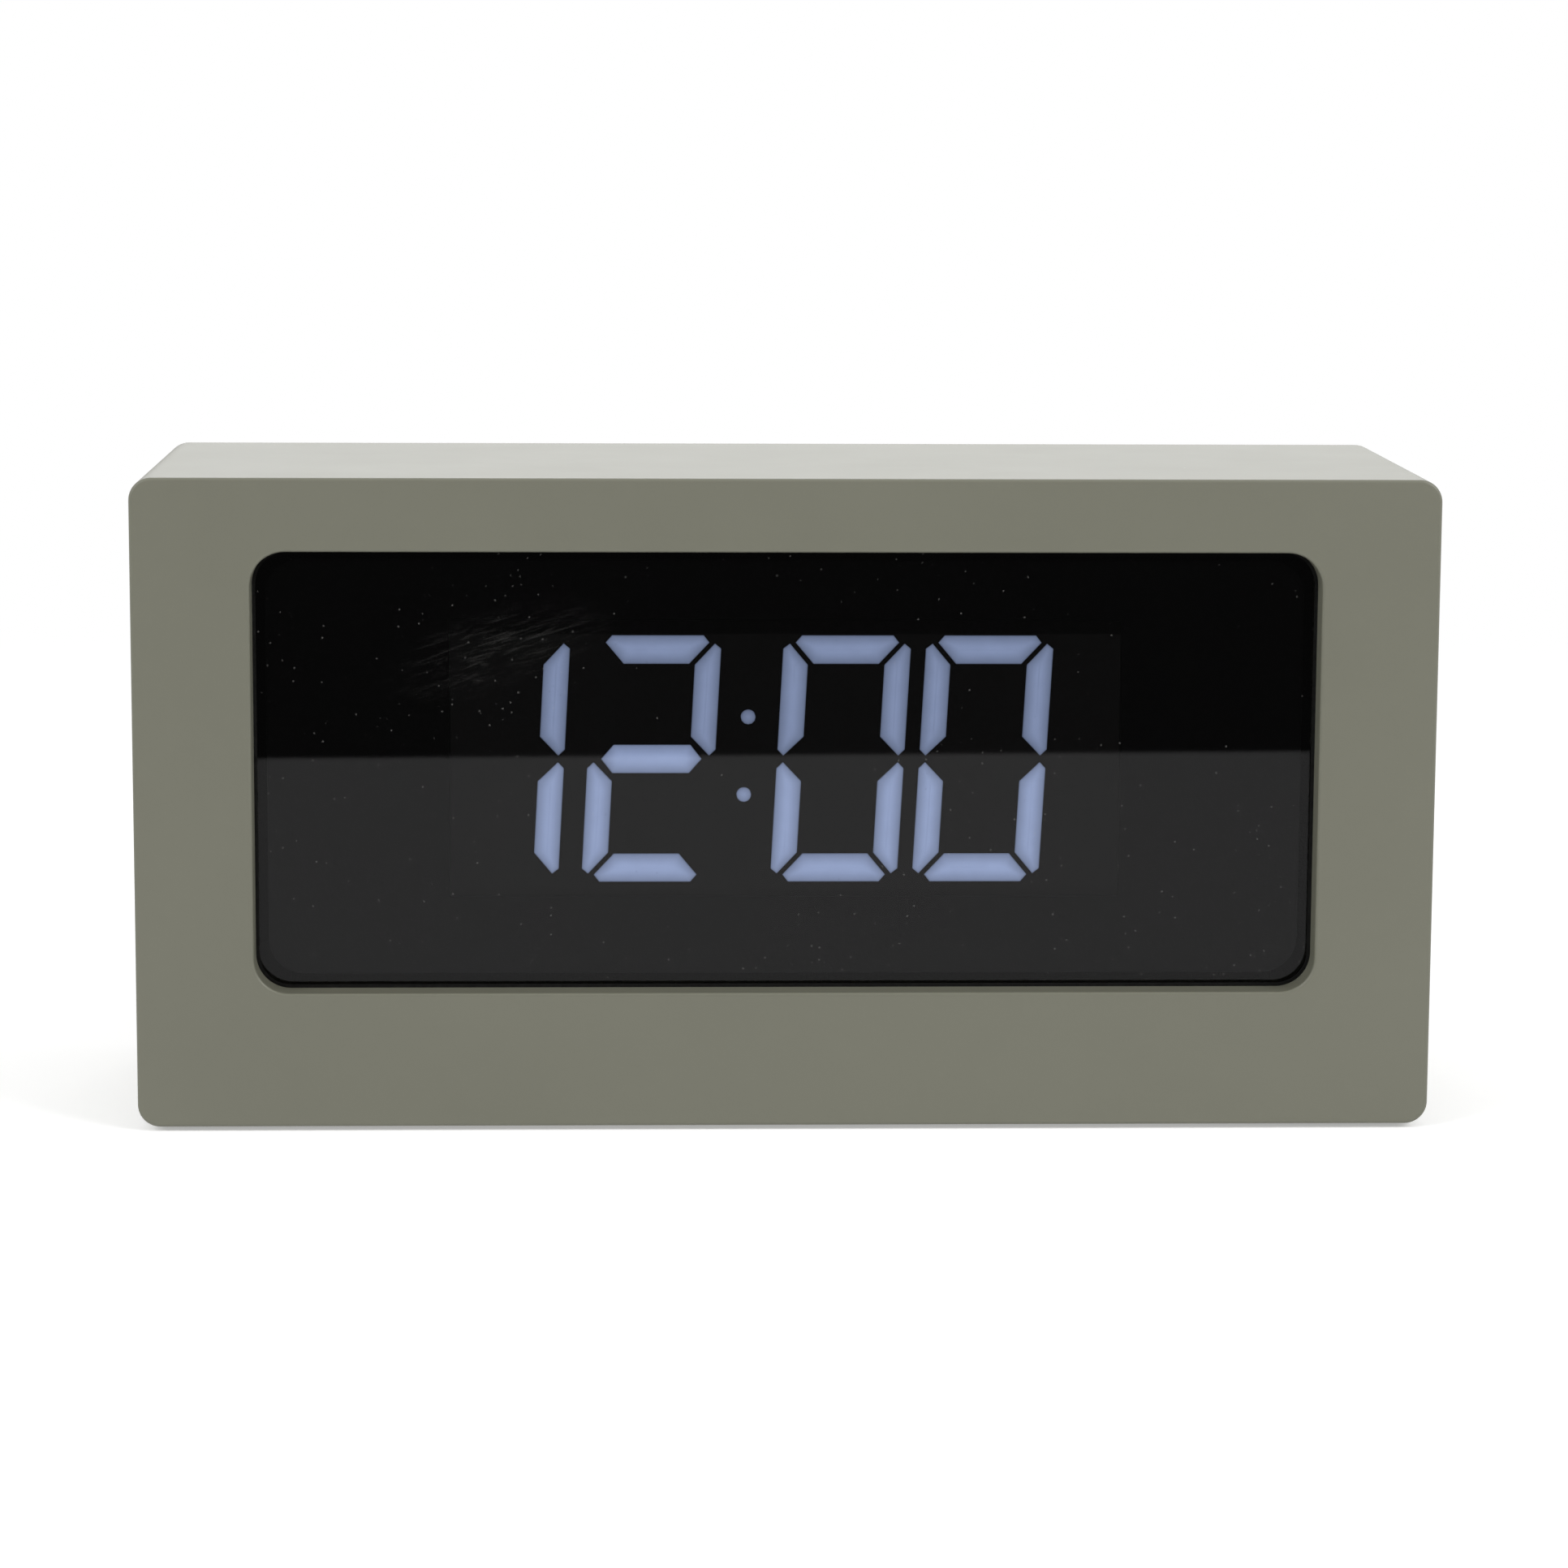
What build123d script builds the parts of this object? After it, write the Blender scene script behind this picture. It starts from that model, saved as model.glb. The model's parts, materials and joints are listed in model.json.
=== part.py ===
"""Digital LED desk clock: a rounded box with a sunk smoked lens, a seven-segment
LED display behind it, a control board and a battery box on the rear cover.
Millimetres. X is across, Y runs from the front face to the back, Z is up from
the surface that the feet stand on, and the origin is midway under the clock."""

import math
import os

from build123d import *

os.makedirs("parts", exist_ok=True)

# Housing
housing_width = 172.0
housing_depth = 57.0
housing_height = 86.4
corner_radius = 3.0
edge_round = 0.45
side_wall = 2.5
front_wall = 2.8
inner_corner_radius = 0.8

# Feet
foot_proud = 0.6
foot_radius = 4.5
foot_pocket_depth = 1.0
foot_pocket_clearance = 0.2
foot_inset_x = 14.0
foot_inset_y = 9.5
foot_edge_round = 0.3

# Window, lens and light seal
window_margin_x = 15.6
window_drop = 9.7
window_corner_radius = 4.6
window_rise = 18.0
window_edge_round = 0.4
recess_depth = 4.5
gasket_thickness = 0.3
gasket_reveal = 0.42
lens_thickness = 2.0
lens_overlap = 1.6
lens_clearance = 0.2
lens_edge_chamfer = 0.2
lens_rim_wall = 1.2
seal_thickness = 0.5
seal_width = 3.0

# Display digits
digit_width = 16.93
digit_height = 33.1
digit_slant = 3.0  # degrees
side_bar = 3.36
flat_bar = 3.78
segment_gap = 0.68
middle_gap = 0.92
miter_shift = 0.32
tip_cut = 1.62
miter_cut = 1.27
apex_inset = 0.81
middle_bar_inset = 1.81
middle_bar_point = 1.56
minute_units_x = 26.28
digit_pitch = 18.96
colon_pitch = 25.19
tens_pitch = 20.04
dot_radius = 1.0
dot_spacing = 10.44
dot_lift = 0.41
dot_fit = 0.03
display_lift = 1.13

# Display module and its board
mask_gap = 0.4
mask_thickness = 0.3
reflector_width = 89.0
reflector_height = 37.0
reflector_depth = 8.0
segment_depth = 6.0
led_width = 1.2
led_height = 0.8
board_thickness = 1.6
board_corner_radius = 1.5
display_board_width = 104.0
display_board_height = 46.0
driver_chip_length = 12.8
driver_chip_width = 7.5
driver_chip_height = 2.3
driver_chip_drop = 6.0
driver_lead_pairs = 10
lead_width = 0.4
lead_reach = 1.2
lead_thickness = 0.3

# Display carrier
carrier_thickness = 1.6
carrier_opening_clearance = 0.2
carrier_margin_x = 3.0
carrier_margin_z = 1.5
carrier_corner_radius = 3.0
ear_radius = 3.5
ear_height_spacing = 40.0
ear_inset = 6.5
boss_wall_radius = 3.0
board_boss_radius = 2.5
board_boss_inset = 3.6

# Screws
screw_fit = 0.05
small_screw_radius = 1.0
small_screw_length = 5.5
small_head_radius = 1.9
small_head_height = 1.3
small_pilot_depth = 5.8
carrier_pilot_depth = 4.6
carrier_screw_grip = 4.2
cover_screw_radius = 1.4
cover_screw_length = 11.0
cover_head_radius = 2.5
cover_head_height = 1.7
cover_head_clearance = 0.3
cover_counterbore_depth = 1.4
cover_pilot_depth = 14.0
screw_hole_clearance = 0.2
cross_slot_width = 0.6
cross_slot_share = 1.3
cross_slot_depth_share = 0.45
post_radius = 3.5
post_merge = 0.5

# Rear cover
rear_lip = 1.3
cover_thickness = 3.0
cover_sink = 1.5
cover_clearance = 0.25
cover_corner_radius = 1.6

# Battery box, cells and door
cell_radius = 5.15
cell_length = 44.5
cell_can_radius = 4.95
cell_sleeve_fit = 0.02
cell_nub_radius = 1.9
cell_nub_height = 0.9
cell_row_spacing = 11.6
cell_gap = 0.1
cell_seat_gap = 0.2
cavity_end_room = 8.0
cavity_side_room = 1.1
battery_floor = 1.5
partition_thickness = 0.8
partition_height = 5.0
partition_end_gap = 9.0
door_rise = 7.4
door_thickness = 2.4
door_clearance = 0.3
door_margin_x = 3.2
door_margin_z = 1.6
door_seat_gap = 0.2
battery_box_wall = 1.2
hinge_pin_radius = 0.6
hinge_pin_length = 1.2
hinge_pin_clearance = 0.1
hinge_pin_end_gap = 0.3
latch_width = 12.0
latch_reach = 1.5
latch_thickness = 1.2
nail_room = 1.6
nail_depth = 2.0
grip_rib_width = 12.0
grip_rib_height = 0.8
grip_rib_proud = 0.4
grip_rib_pitch = 1.9
grip_rib_count = 3
door_pad_margin = 4.5
door_pad_height = 9.0
door_pad_thickness = 0.7

# Battery contacts
contact_thickness = 0.4
contact_size = 8.4
contact_dimple_radius = 1.4
contact_tail_width = 2.4
contact_tail_length = 3.0
contact_slot_clearance = 0.2
spring_wire_radius = 0.28
spring_base_radius = 3.5
spring_turns = 4
spring_cone_angle = 8.0  # degrees
spring_seat_gap = 0.05

# Control board and what it carries
control_board_margin = 20.45
control_board_height = 30.0
control_board_drop = 1.05
board_stand_off = 6.5
control_boss_inset = 3.5
switch_case_size = 6.0
switch_case_height = 3.5
switch_plunger_radius = 1.7
switch_plunger_height = 1.5
switch_plunger_sunk = 0.2
switch_bore_clearance = 0.2
switch_bore_depth = 1.3
button_radius = 3.5
button_clearance = 0.3
button_flange_radius = 4.6
button_flange_thickness = 1.0
button_proud = 0.9
button_edge_round = 0.4
button_dish_depth = 0.25
button_dish_radius = 2.6
button_pitch_share = 0.109375
first_button_share = -0.296875
slide_switch_share = 0.1796875
slide_travel = 4.0
slide_knob_length = 4.0
slide_knob_height = 3.2
slide_knob_proud = 0.5
slide_skirt_thickness = 0.8
slide_skirt_gap = 0.3
slide_skirt_overlap = 1.2
slide_clearance = 0.3
slide_case_length = 11.0
slide_case_height = 5.0
slide_case_depth = 3.5
slide_stem_size = 1.4
slide_stem_sunk = 0.8
slide_grip_width = 0.5
slide_grip_depth = 0.3
usb_share = 0.328125
usb_width = 8.94
usb_height = 3.2
usb_wall = 0.3
usb_length = 9.2
usb_floor = 1.5
usb_clearance = 0.35
usb_tongue_width = 6.7
usb_tongue_thickness = 0.7
usb_tongue_setback = 0.9
buzzer_share = -0.41796875
buzzer_radius = 6.0
buzzer_height = 6.3
buzzer_port_radius = 1.0
buzzer_port_depth = 1.5
sound_hole_radius = 0.75
sound_ring_radius = 3.4
sound_ring_count = 6
controller_size = 10.0
controller_height = 1.5
controller_share = -0.0625
controller_lead_pairs = 8
crystal_length = 10.8
crystal_width = 4.5
crystal_height = 3.4
crystal_gap = 3.45
capacitor_radius = 3.15
capacitor_height = 5.2
capacitor_base_height = 0.8
capacitor_gap = 3.85

# Ribbon cable and battery leads
ribbon_width = 11.4
ribbon_thickness = 0.9
socket_length = 14.0
socket_width = 5.6
socket_height = 4.6
display_socket_drop = 6.0
ribbon_straight = 3.2
lead_radius = 0.7
lead_bend_share = 0.45

# Places worked out from the sizes above, as depths behind the front face
front_y = -housing_depth / 2
housing_mid_z = foot_proud + housing_height / 2
inner_width = housing_width - 2 * side_wall
inner_height = housing_height - 2 * side_wall
ear_x = inner_width / 2 - ear_inset
window_width = housing_width - 2 * window_margin_x
window_height = housing_height - window_rise - window_drop
window_z = foot_proud + window_rise + window_height / 2
collar_depth = recess_depth - gasket_thickness
lens_width = window_width + 2 * lens_overlap
lens_height = window_height + 2 * lens_overlap
lens_corner_radius = window_corner_radius + lens_overlap
lens_back = recess_depth + lens_thickness
collar_growth = 2 * (lens_overlap + lens_clearance + lens_rim_wall)
carrier_front = lens_back + seal_thickness
carrier_back = carrier_front + carrier_thickness
display_z = window_z + display_lift
mask_front = lens_back + mask_gap
reflector_front = mask_front + mask_thickness
reflector_back = reflector_front + reflector_depth
display_board_back = reflector_back + board_thickness
cover_back = housing_depth - cover_sink
cover_front = cover_back - cover_thickness
cover_width = housing_width - 2 * (rear_lip + cover_clearance)
cover_height = housing_height - 2 * (rear_lip + cover_clearance)
control_board_back = cover_front - board_stand_off
control_board_front = control_board_back - board_thickness
post_x = inner_width / 2 - post_radius + post_merge
post_z = inner_height / 2 - post_radius + post_merge
cavity_width = 2 * cell_length + cavity_end_room
cavity_height = cell_row_spacing + 2 * (cell_radius + cavity_side_room)
door_pad_width = cavity_width - 2 * door_pad_margin
door_width = cavity_width + 2 * door_margin_x
door_height = cavity_height + 2 * door_margin_z
door_z = foot_proud + door_rise + door_height / 2
door_top = door_z + door_height / 2
door_front = cover_back - door_thickness
door_seat = door_front - door_seat_gap
hinge_depth = cover_back - door_thickness / 2
hinge_z = door_z - door_height / 2 + door_thickness / 2
opening_width = door_width + 2 * door_clearance
opening_height = door_height + 2 * door_clearance
battery_box_top = door_z + opening_height / 2 + battery_box_wall
inner_top = foot_proud + housing_height - side_wall
control_z = (battery_box_top + inner_top) / 2 - control_board_drop
control_board_width = cover_width - 2 * control_board_margin
button_pitch = button_pitch_share * control_board_width
first_button_x = first_button_share * control_board_width
slide_switch_x = slide_switch_share * control_board_width
usb_x = usb_share * control_board_width
buzzer_x = buzzer_share * control_board_width
controller_x = controller_share * control_board_width
ribbon_mid_x = display_board_width / 2 - socket_length
capacitor_x = ribbon_mid_x - socket_length / 2 - capacitor_gap - capacitor_radius
crystal_x = capacitor_x - capacitor_radius - crystal_gap - crystal_length / 2
cell_depth = door_front - door_pad_thickness - cell_seat_gap - cell_radius
cell_floor = cell_depth - cell_radius - cell_seat_gap
battery_box_front = cell_floor - battery_floor


def facing(depth):
    """Plane across the clock at a depth behind the front face, seen from the front."""
    return Plane.XZ.offset(-(front_y + depth))


def write(piece, label):
    """Name a finished piece and write its file."""
    piece.part.label = label
    export_step(piece.part, f"parts/{label}.step")


def mirrored(points, across, upright):
    """The same outline on the other side of the digit."""
    return [(across * u, upright * v) for u, v in points]


# Seven-segment outlines about the middle of an upright digit

half_width = digit_width / 2
half_height = digit_height / 2
miter = math.hypot(side_bar, flat_bar)
miter_u = side_bar / miter
miter_v = flat_bar / miter
flat_tip_u = half_width - segment_gap / 2 / miter_v - miter_shift
side_tip_v = half_height - segment_gap / 2 / miter_u + miter_shift * flat_bar / side_bar
flat_half = [
    (flat_tip_u - tip_cut, half_height),
    (flat_tip_u - miter_cut * miter_u, half_height - miter_cut * miter_v),
    (flat_tip_u - side_bar, half_height - flat_bar),
]
side_outline = [
    (half_width, side_tip_v - tip_cut),
    (half_width - miter_cut * miter_u, side_tip_v - miter_cut * miter_v),
    (half_width - side_bar, side_tip_v - flat_bar),
    (half_width - side_bar, middle_gap / 2 + side_bar - apex_inset),
    (half_width - apex_inset, middle_gap / 2),
    (half_width, middle_gap / 2 + apex_inset),
]
middle_tip = half_width - middle_bar_inset
middle_half = [
    (middle_tip - middle_bar_point, flat_bar / 2),
    (middle_tip, 0),
    (middle_tip - middle_bar_point, -flat_bar / 2),
]
flat_outline = flat_half + mirrored(flat_half, -1, 1)[::-1]
segment_outlines = {
    "a": flat_outline,
    "b": side_outline,
    "c": mirrored(side_outline, 1, -1),
    "d": mirrored(flat_outline, 1, -1),
    "e": mirrored(side_outline, -1, -1),
    "f": mirrored(side_outline, -1, 1),
    "g": middle_half + mirrored(middle_half, -1, 1)[::-1],
}
minute_tens_x = minute_units_x - digit_pitch
hour_units_x = minute_tens_x - colon_pitch
hour_tens_x = hour_units_x - tens_pitch
colon_x = (hour_units_x + minute_tens_x) / 2
lean = math.tan(math.radians(digit_slant))

# Which segments each digit has, and which of them glow at twelve o'clock
digit_segments = {
    "hour_tens": (hour_tens_x, "bc", "bc"),
    "hour_units": (hour_units_x, "abcdefg", "abged"),
    "minute_tens": (minute_tens_x, "abcdefg", "abcdef"),
    "minute_units": (minute_units_x, "abcdefg", "abcdef"),
}
dot_places = [
    (colon_x + side * lean * dot_spacing / 2, display_z + dot_lift + side * dot_spacing / 2)
    for side in (1, -1)
]


def leaning(outline, digit_x):
    """A segment outline where it stands on the slanted display."""
    return [(digit_x + u + v * lean, display_z + v) for u, v in outline]


def middle_of(outline):
    """Mean of the corners of an outline."""
    return tuple(sum(values) / len(outline) for values in zip(*outline))


def draw_segments(digit_x, names):
    """Draw the named segments of one digit into the sketch in hand."""
    for name in names:
        Polygon(*leaning(segment_outlines[name], digit_x))


def draw_whole_display():
    """Draw all the segments and the two dots into the sketch in hand."""
    for digit_x, names, _ in digit_segments.values():
        draw_segments(digit_x, names)
    with Locations(*dot_places):
        Circle(dot_radius)


def corner_places(width, height, middle_z):
    """Four places at the corners of a rectangle about the middle plane."""
    return [(sx * width / 2, middle_z + sz * height / 2) for sx in (-1, 1) for sz in (-1, 1)]


def draw_frame(width, height, radius, band):
    """Draw a rounded frame of one band width, its outside first."""
    RectangleRounded(width, height, radius)
    RectangleRounded(width - 2 * band, height - 2 * band, radius - band / 2, mode=Mode.SUBTRACT)


def screws_at(places, seat, sign, shank_radius, shank_length, head_radius, head_height):
    """Cross-head screws: shanks from the seat one way, heads from it the other.

    sign is 1 where the shanks point to the front and -1 where they point to the back.
    """
    with BuildPart() as screws:
        with BuildSketch(facing(seat)):
            with Locations(*places):
                Circle(shank_radius)
        extrude(amount=sign * shank_length)
        with BuildSketch(facing(seat)):
            with Locations(*places):
                Circle(head_radius)
        extrude(amount=-sign * head_height)
        with BuildSketch(facing(seat + sign * head_height)):
            with Locations(*places):
                Rectangle(head_radius * cross_slot_share, cross_slot_width)
                Rectangle(cross_slot_width, head_radius * cross_slot_share)
        extrude(amount=sign * head_height * cross_slot_depth_share, mode=Mode.SUBTRACT)
    return screws


# Housing: one moulded sleeve with the front wall, the lens collar and the posts

ear_places = corner_places(2 * ear_x, ear_height_spacing, window_z)
post_places = corner_places(2 * post_x, 2 * post_z, housing_mid_z)
foot_places = [
    (sx * (housing_width / 2 - foot_inset_x), sy * (housing_depth / 2 - foot_inset_y))
    for sx in (-1, 1) for sy in (-1, 1)
]

with BuildPart() as housing:
    with BuildSketch(facing(0)):
        with Locations((0, housing_mid_z)):
            RectangleRounded(housing_width, housing_height, corner_radius)
    extrude(amount=-housing_depth)
    fillet(housing.faces().filter_by(Axis.Y).edges(), edge_round)
    with BuildSketch(facing(front_wall)):
        with Locations((0, housing_mid_z)):
            RectangleRounded(inner_width, inner_height, inner_corner_radius)
    extrude(amount=-(housing_depth - front_wall), mode=Mode.SUBTRACT)
    with BuildSketch(facing(cover_front)):
        with Locations((0, housing_mid_z)):
            RectangleRounded(housing_width - 2 * rear_lip, housing_height - 2 * rear_lip,
                             corner_radius - rear_lip)
    extrude(amount=-(housing_depth - cover_front), mode=Mode.SUBTRACT)
    with BuildSketch(facing(front_wall)):
        with Locations((0, window_z)):
            RectangleRounded(window_width + collar_growth, window_height + collar_growth,
                             window_corner_radius + collar_growth / 2)
    extrude(amount=-(lens_back - front_wall))
    with BuildSketch(facing(collar_depth)):
        with Locations((0, window_z)):
            RectangleRounded(lens_width + 2 * lens_clearance, lens_height + 2 * lens_clearance,
                             lens_corner_radius + lens_clearance)
    extrude(amount=-(lens_back - collar_depth), mode=Mode.SUBTRACT)
    with BuildSketch(facing(0)):
        with Locations((0, window_z)):
            RectangleRounded(window_width, window_height, window_corner_radius)
    extrude(amount=-collar_depth, mode=Mode.SUBTRACT)
    front_face = housing.faces().filter_by(Axis.Y).sort_by(Axis.Y)[0]
    fillet(front_face.inner_wires()[0].edges(), window_edge_round)
    with BuildSketch(facing(front_wall)):
        with Locations(*post_places):
            Circle(post_radius)
    extrude(amount=-(cover_front - front_wall))
    with BuildSketch(facing(cover_front)):
        with Locations(*post_places):
            Circle(cover_screw_radius + screw_fit)
    extrude(amount=cover_pilot_depth, mode=Mode.SUBTRACT)
    with BuildSketch(facing(front_wall)):
        with Locations(*ear_places):
            Circle(boss_wall_radius)
    extrude(amount=-(carrier_front - front_wall))
    with BuildSketch(facing(carrier_front)):
        with Locations(*ear_places):
            Circle(small_screw_radius + screw_fit)
    extrude(amount=carrier_pilot_depth, mode=Mode.SUBTRACT)
    with BuildSketch(Plane.XY.offset(foot_proud)):
        with Locations(*foot_places):
            Circle(foot_radius + foot_pocket_clearance)
    extrude(amount=foot_pocket_depth, mode=Mode.SUBTRACT)
write(housing, "housing")

with BuildPart() as rubber_feet:
    with BuildSketch(Plane.XY):
        with Locations(*foot_places):
            Circle(foot_radius)
    extrude(amount=foot_proud + foot_pocket_depth)
    fillet(rubber_feet.faces().group_by(Axis.Z)[0].edges(), foot_edge_round)
write(rubber_feet, "rubber_feet")

# Lens, its gasket and the foam that keeps light off its back

with BuildPart() as lens_gasket:
    with BuildSketch(facing(collar_depth)):
        with Locations((0, window_z)):
            RectangleRounded(lens_width, lens_height, lens_corner_radius)
            RectangleRounded(window_width - 2 * gasket_reveal, window_height - 2 * gasket_reveal,
                             window_corner_radius - gasket_reveal, mode=Mode.SUBTRACT)
    extrude(amount=-gasket_thickness)
write(lens_gasket, "lens_gasket")

with BuildPart() as lens:
    with BuildSketch(facing(recess_depth)):
        with Locations((0, window_z)):
            RectangleRounded(lens_width, lens_height, lens_corner_radius)
    extrude(amount=-lens_thickness)
    chamfer(lens.faces().sort_by(Axis.Y)[-1].edges(), lens_edge_chamfer)
write(lens, "lens")

with BuildPart() as light_seal:
    with BuildSketch(facing(lens_back)):
        with Locations((0, window_z)):
            draw_frame(lens_width - 2 * lens_edge_chamfer, lens_height - 2 * lens_edge_chamfer,
                       lens_corner_radius, seal_width)
    extrude(amount=-seal_thickness)
write(light_seal, "light_seal")

# Display carrier: the black frame that holds the display board behind the lens

board_screw_places = corner_places(display_board_width - 2 * board_boss_inset,
                                   display_board_height - 2 * board_boss_inset, display_z)

with BuildPart() as display_carrier:
    with BuildSketch(facing(carrier_front)):
        with Locations((0, window_z)):
            RectangleRounded(lens_width + 2 * carrier_margin_x, lens_height + 2 * carrier_margin_z,
                             carrier_corner_radius)
        with Locations(*ear_places):
            Circle(ear_radius)
        with Locations((0, display_z)):
            Rectangle(reflector_width + 2 * carrier_opening_clearance,
                      reflector_height + 2 * carrier_opening_clearance, mode=Mode.SUBTRACT)
        with Locations(*ear_places):
            Circle(small_screw_radius + screw_hole_clearance, mode=Mode.SUBTRACT)
    extrude(amount=-carrier_thickness)
    with BuildSketch(facing(carrier_back)):
        with Locations(*board_screw_places):
            Circle(board_boss_radius)
    extrude(amount=-(reflector_back - carrier_back))
    with BuildSketch(facing(reflector_back)):
        with Locations(*board_screw_places):
            Circle(small_screw_radius + screw_fit)
    extrude(amount=small_pilot_depth, mode=Mode.SUBTRACT)
write(display_carrier, "display_carrier")

carrier_screws = screws_at(ear_places, carrier_back, 1, small_screw_radius,
                           carrier_thickness + carrier_screw_grip, small_head_radius, small_head_height)
write(carrier_screws, "carrier_screws")

# Display module: black mask, reflector block and the cast segments in its cavities

with BuildPart() as segment_mask:
    with BuildSketch(facing(mask_front)):
        with Locations((0, display_z)):
            Rectangle(reflector_width, reflector_height)
    extrude(amount=-mask_thickness)
    with BuildSketch(facing(mask_front)):
        draw_whole_display()
    extrude(amount=-mask_thickness, mode=Mode.SUBTRACT)
write(segment_mask, "segment_mask")

with BuildPart() as reflector_block:
    with BuildSketch(facing(reflector_front)):
        with Locations((0, display_z)):
            Rectangle(reflector_width, reflector_height)
    extrude(amount=-reflector_depth)
    with BuildSketch(facing(reflector_front)):
        draw_whole_display()
    extrude(amount=-reflector_depth, mode=Mode.SUBTRACT)
write(reflector_block, "reflector_block")

for digit, (digit_x, names, glowing) in digit_segments.items():
    dark = [name for name in names if name not in glowing]
    for state, chosen in (("lit", glowing), ("dark", dark)):
        if chosen:
            with BuildPart() as segments:
                with BuildSketch(facing(mask_front)):
                    draw_segments(digit_x, chosen)
                extrude(amount=-segment_depth)
            write(segments, f"{digit}_{state}_segments")

with BuildPart() as colon_dots:
    with BuildSketch(facing(mask_front)):
        with Locations(*dot_places):
            Circle(dot_radius - dot_fit)
    extrude(amount=-segment_depth)
write(colon_dots, "colon_dots")

# Display board with one LED behind each segment

led_places = list(dot_places)
for digit_x, names, _ in digit_segments.values():
    led_places += [middle_of(leaning(segment_outlines[name], digit_x)) for name in names]

with BuildPart() as segment_leds:
    with BuildSketch(facing(reflector_back)):
        with Locations(*led_places):
            Rectangle(led_width, led_width)
    extrude(amount=led_height)
write(segment_leds, "segment_leds")

with BuildPart() as display_board:
    with BuildSketch(facing(reflector_back)):
        with Locations((0, display_z)):
            RectangleRounded(display_board_width, display_board_height, board_corner_radius)
        with Locations(*board_screw_places):
            Circle(small_screw_radius + screw_hole_clearance, mode=Mode.SUBTRACT)
    extrude(amount=-board_thickness)
write(display_board, "display_board")

display_board_screws = screws_at(board_screw_places, display_board_back, 1, small_screw_radius,
                                 small_screw_length, small_head_radius, small_head_height)
write(display_board_screws, "display_board_screws")


def chip_on(seat, sign, middle, length, width, height, pairs):
    """A chip with two rows of leads; sign is 1 on a board's front and -1 on its back."""
    pitch = length / pairs
    lead_places = [(middle[0] + (i - (pairs - 1) / 2) * pitch, middle[1]) for i in range(pairs)]
    with BuildPart() as chip:
        with BuildSketch(facing(seat)):
            with Locations(middle):
                Rectangle(length, width)
        extrude(amount=sign * height)
        with BuildSketch(facing(seat)):
            with Locations(*lead_places):
                Rectangle(lead_width, width + 2 * lead_reach)
        extrude(amount=sign * lead_thickness)
    return chip


def socket_on(seat, sign, middle):
    """A plug socket block for the ribbon cable."""
    with BuildPart() as socket:
        with BuildSketch(facing(seat)):
            with Locations(middle):
                Rectangle(socket_length, socket_width)
        extrude(amount=sign * socket_height)
    return socket


display_socket_z = display_z - display_socket_drop
led_driver_chip = chip_on(display_board_back, -1, (0, display_z - driver_chip_drop),
                          driver_chip_length, driver_chip_width, driver_chip_height, driver_lead_pairs)
write(led_driver_chip, "led_driver_chip")
display_socket = socket_on(display_board_back, -1, (ribbon_mid_x, display_socket_z))
write(display_socket, "display_socket")

# Rear cover with the battery box, the board bosses and the openings for the controls

button_names = ["set", "up", "down", "alarm"]
button_xs = [first_button_x + i * button_pitch for i in range(len(button_names))]
button_places = [(x, control_z) for x in button_xs]
control_screw_places = corner_places(control_board_width - 2 * control_boss_inset,
                                     control_board_height - 2 * control_boss_inset, control_z)
sound_places = [(buzzer_x, control_z)] + [
    (buzzer_x + sound_ring_radius * math.cos(2 * math.pi * i / sound_ring_count),
     control_z + sound_ring_radius * math.sin(2 * math.pi * i / sound_ring_count))
    for i in range(sound_ring_count)
]
upper_row_z = door_z + cell_row_spacing / 2
lower_row_z = door_z - cell_row_spacing / 2
terminal_x = -cavity_width / 2 + contact_thickness / 2
slide_slot_length = slide_knob_length + slide_travel + 2 * slide_clearance
slide_slot_height = slide_knob_height + 2 * slide_clearance

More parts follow.
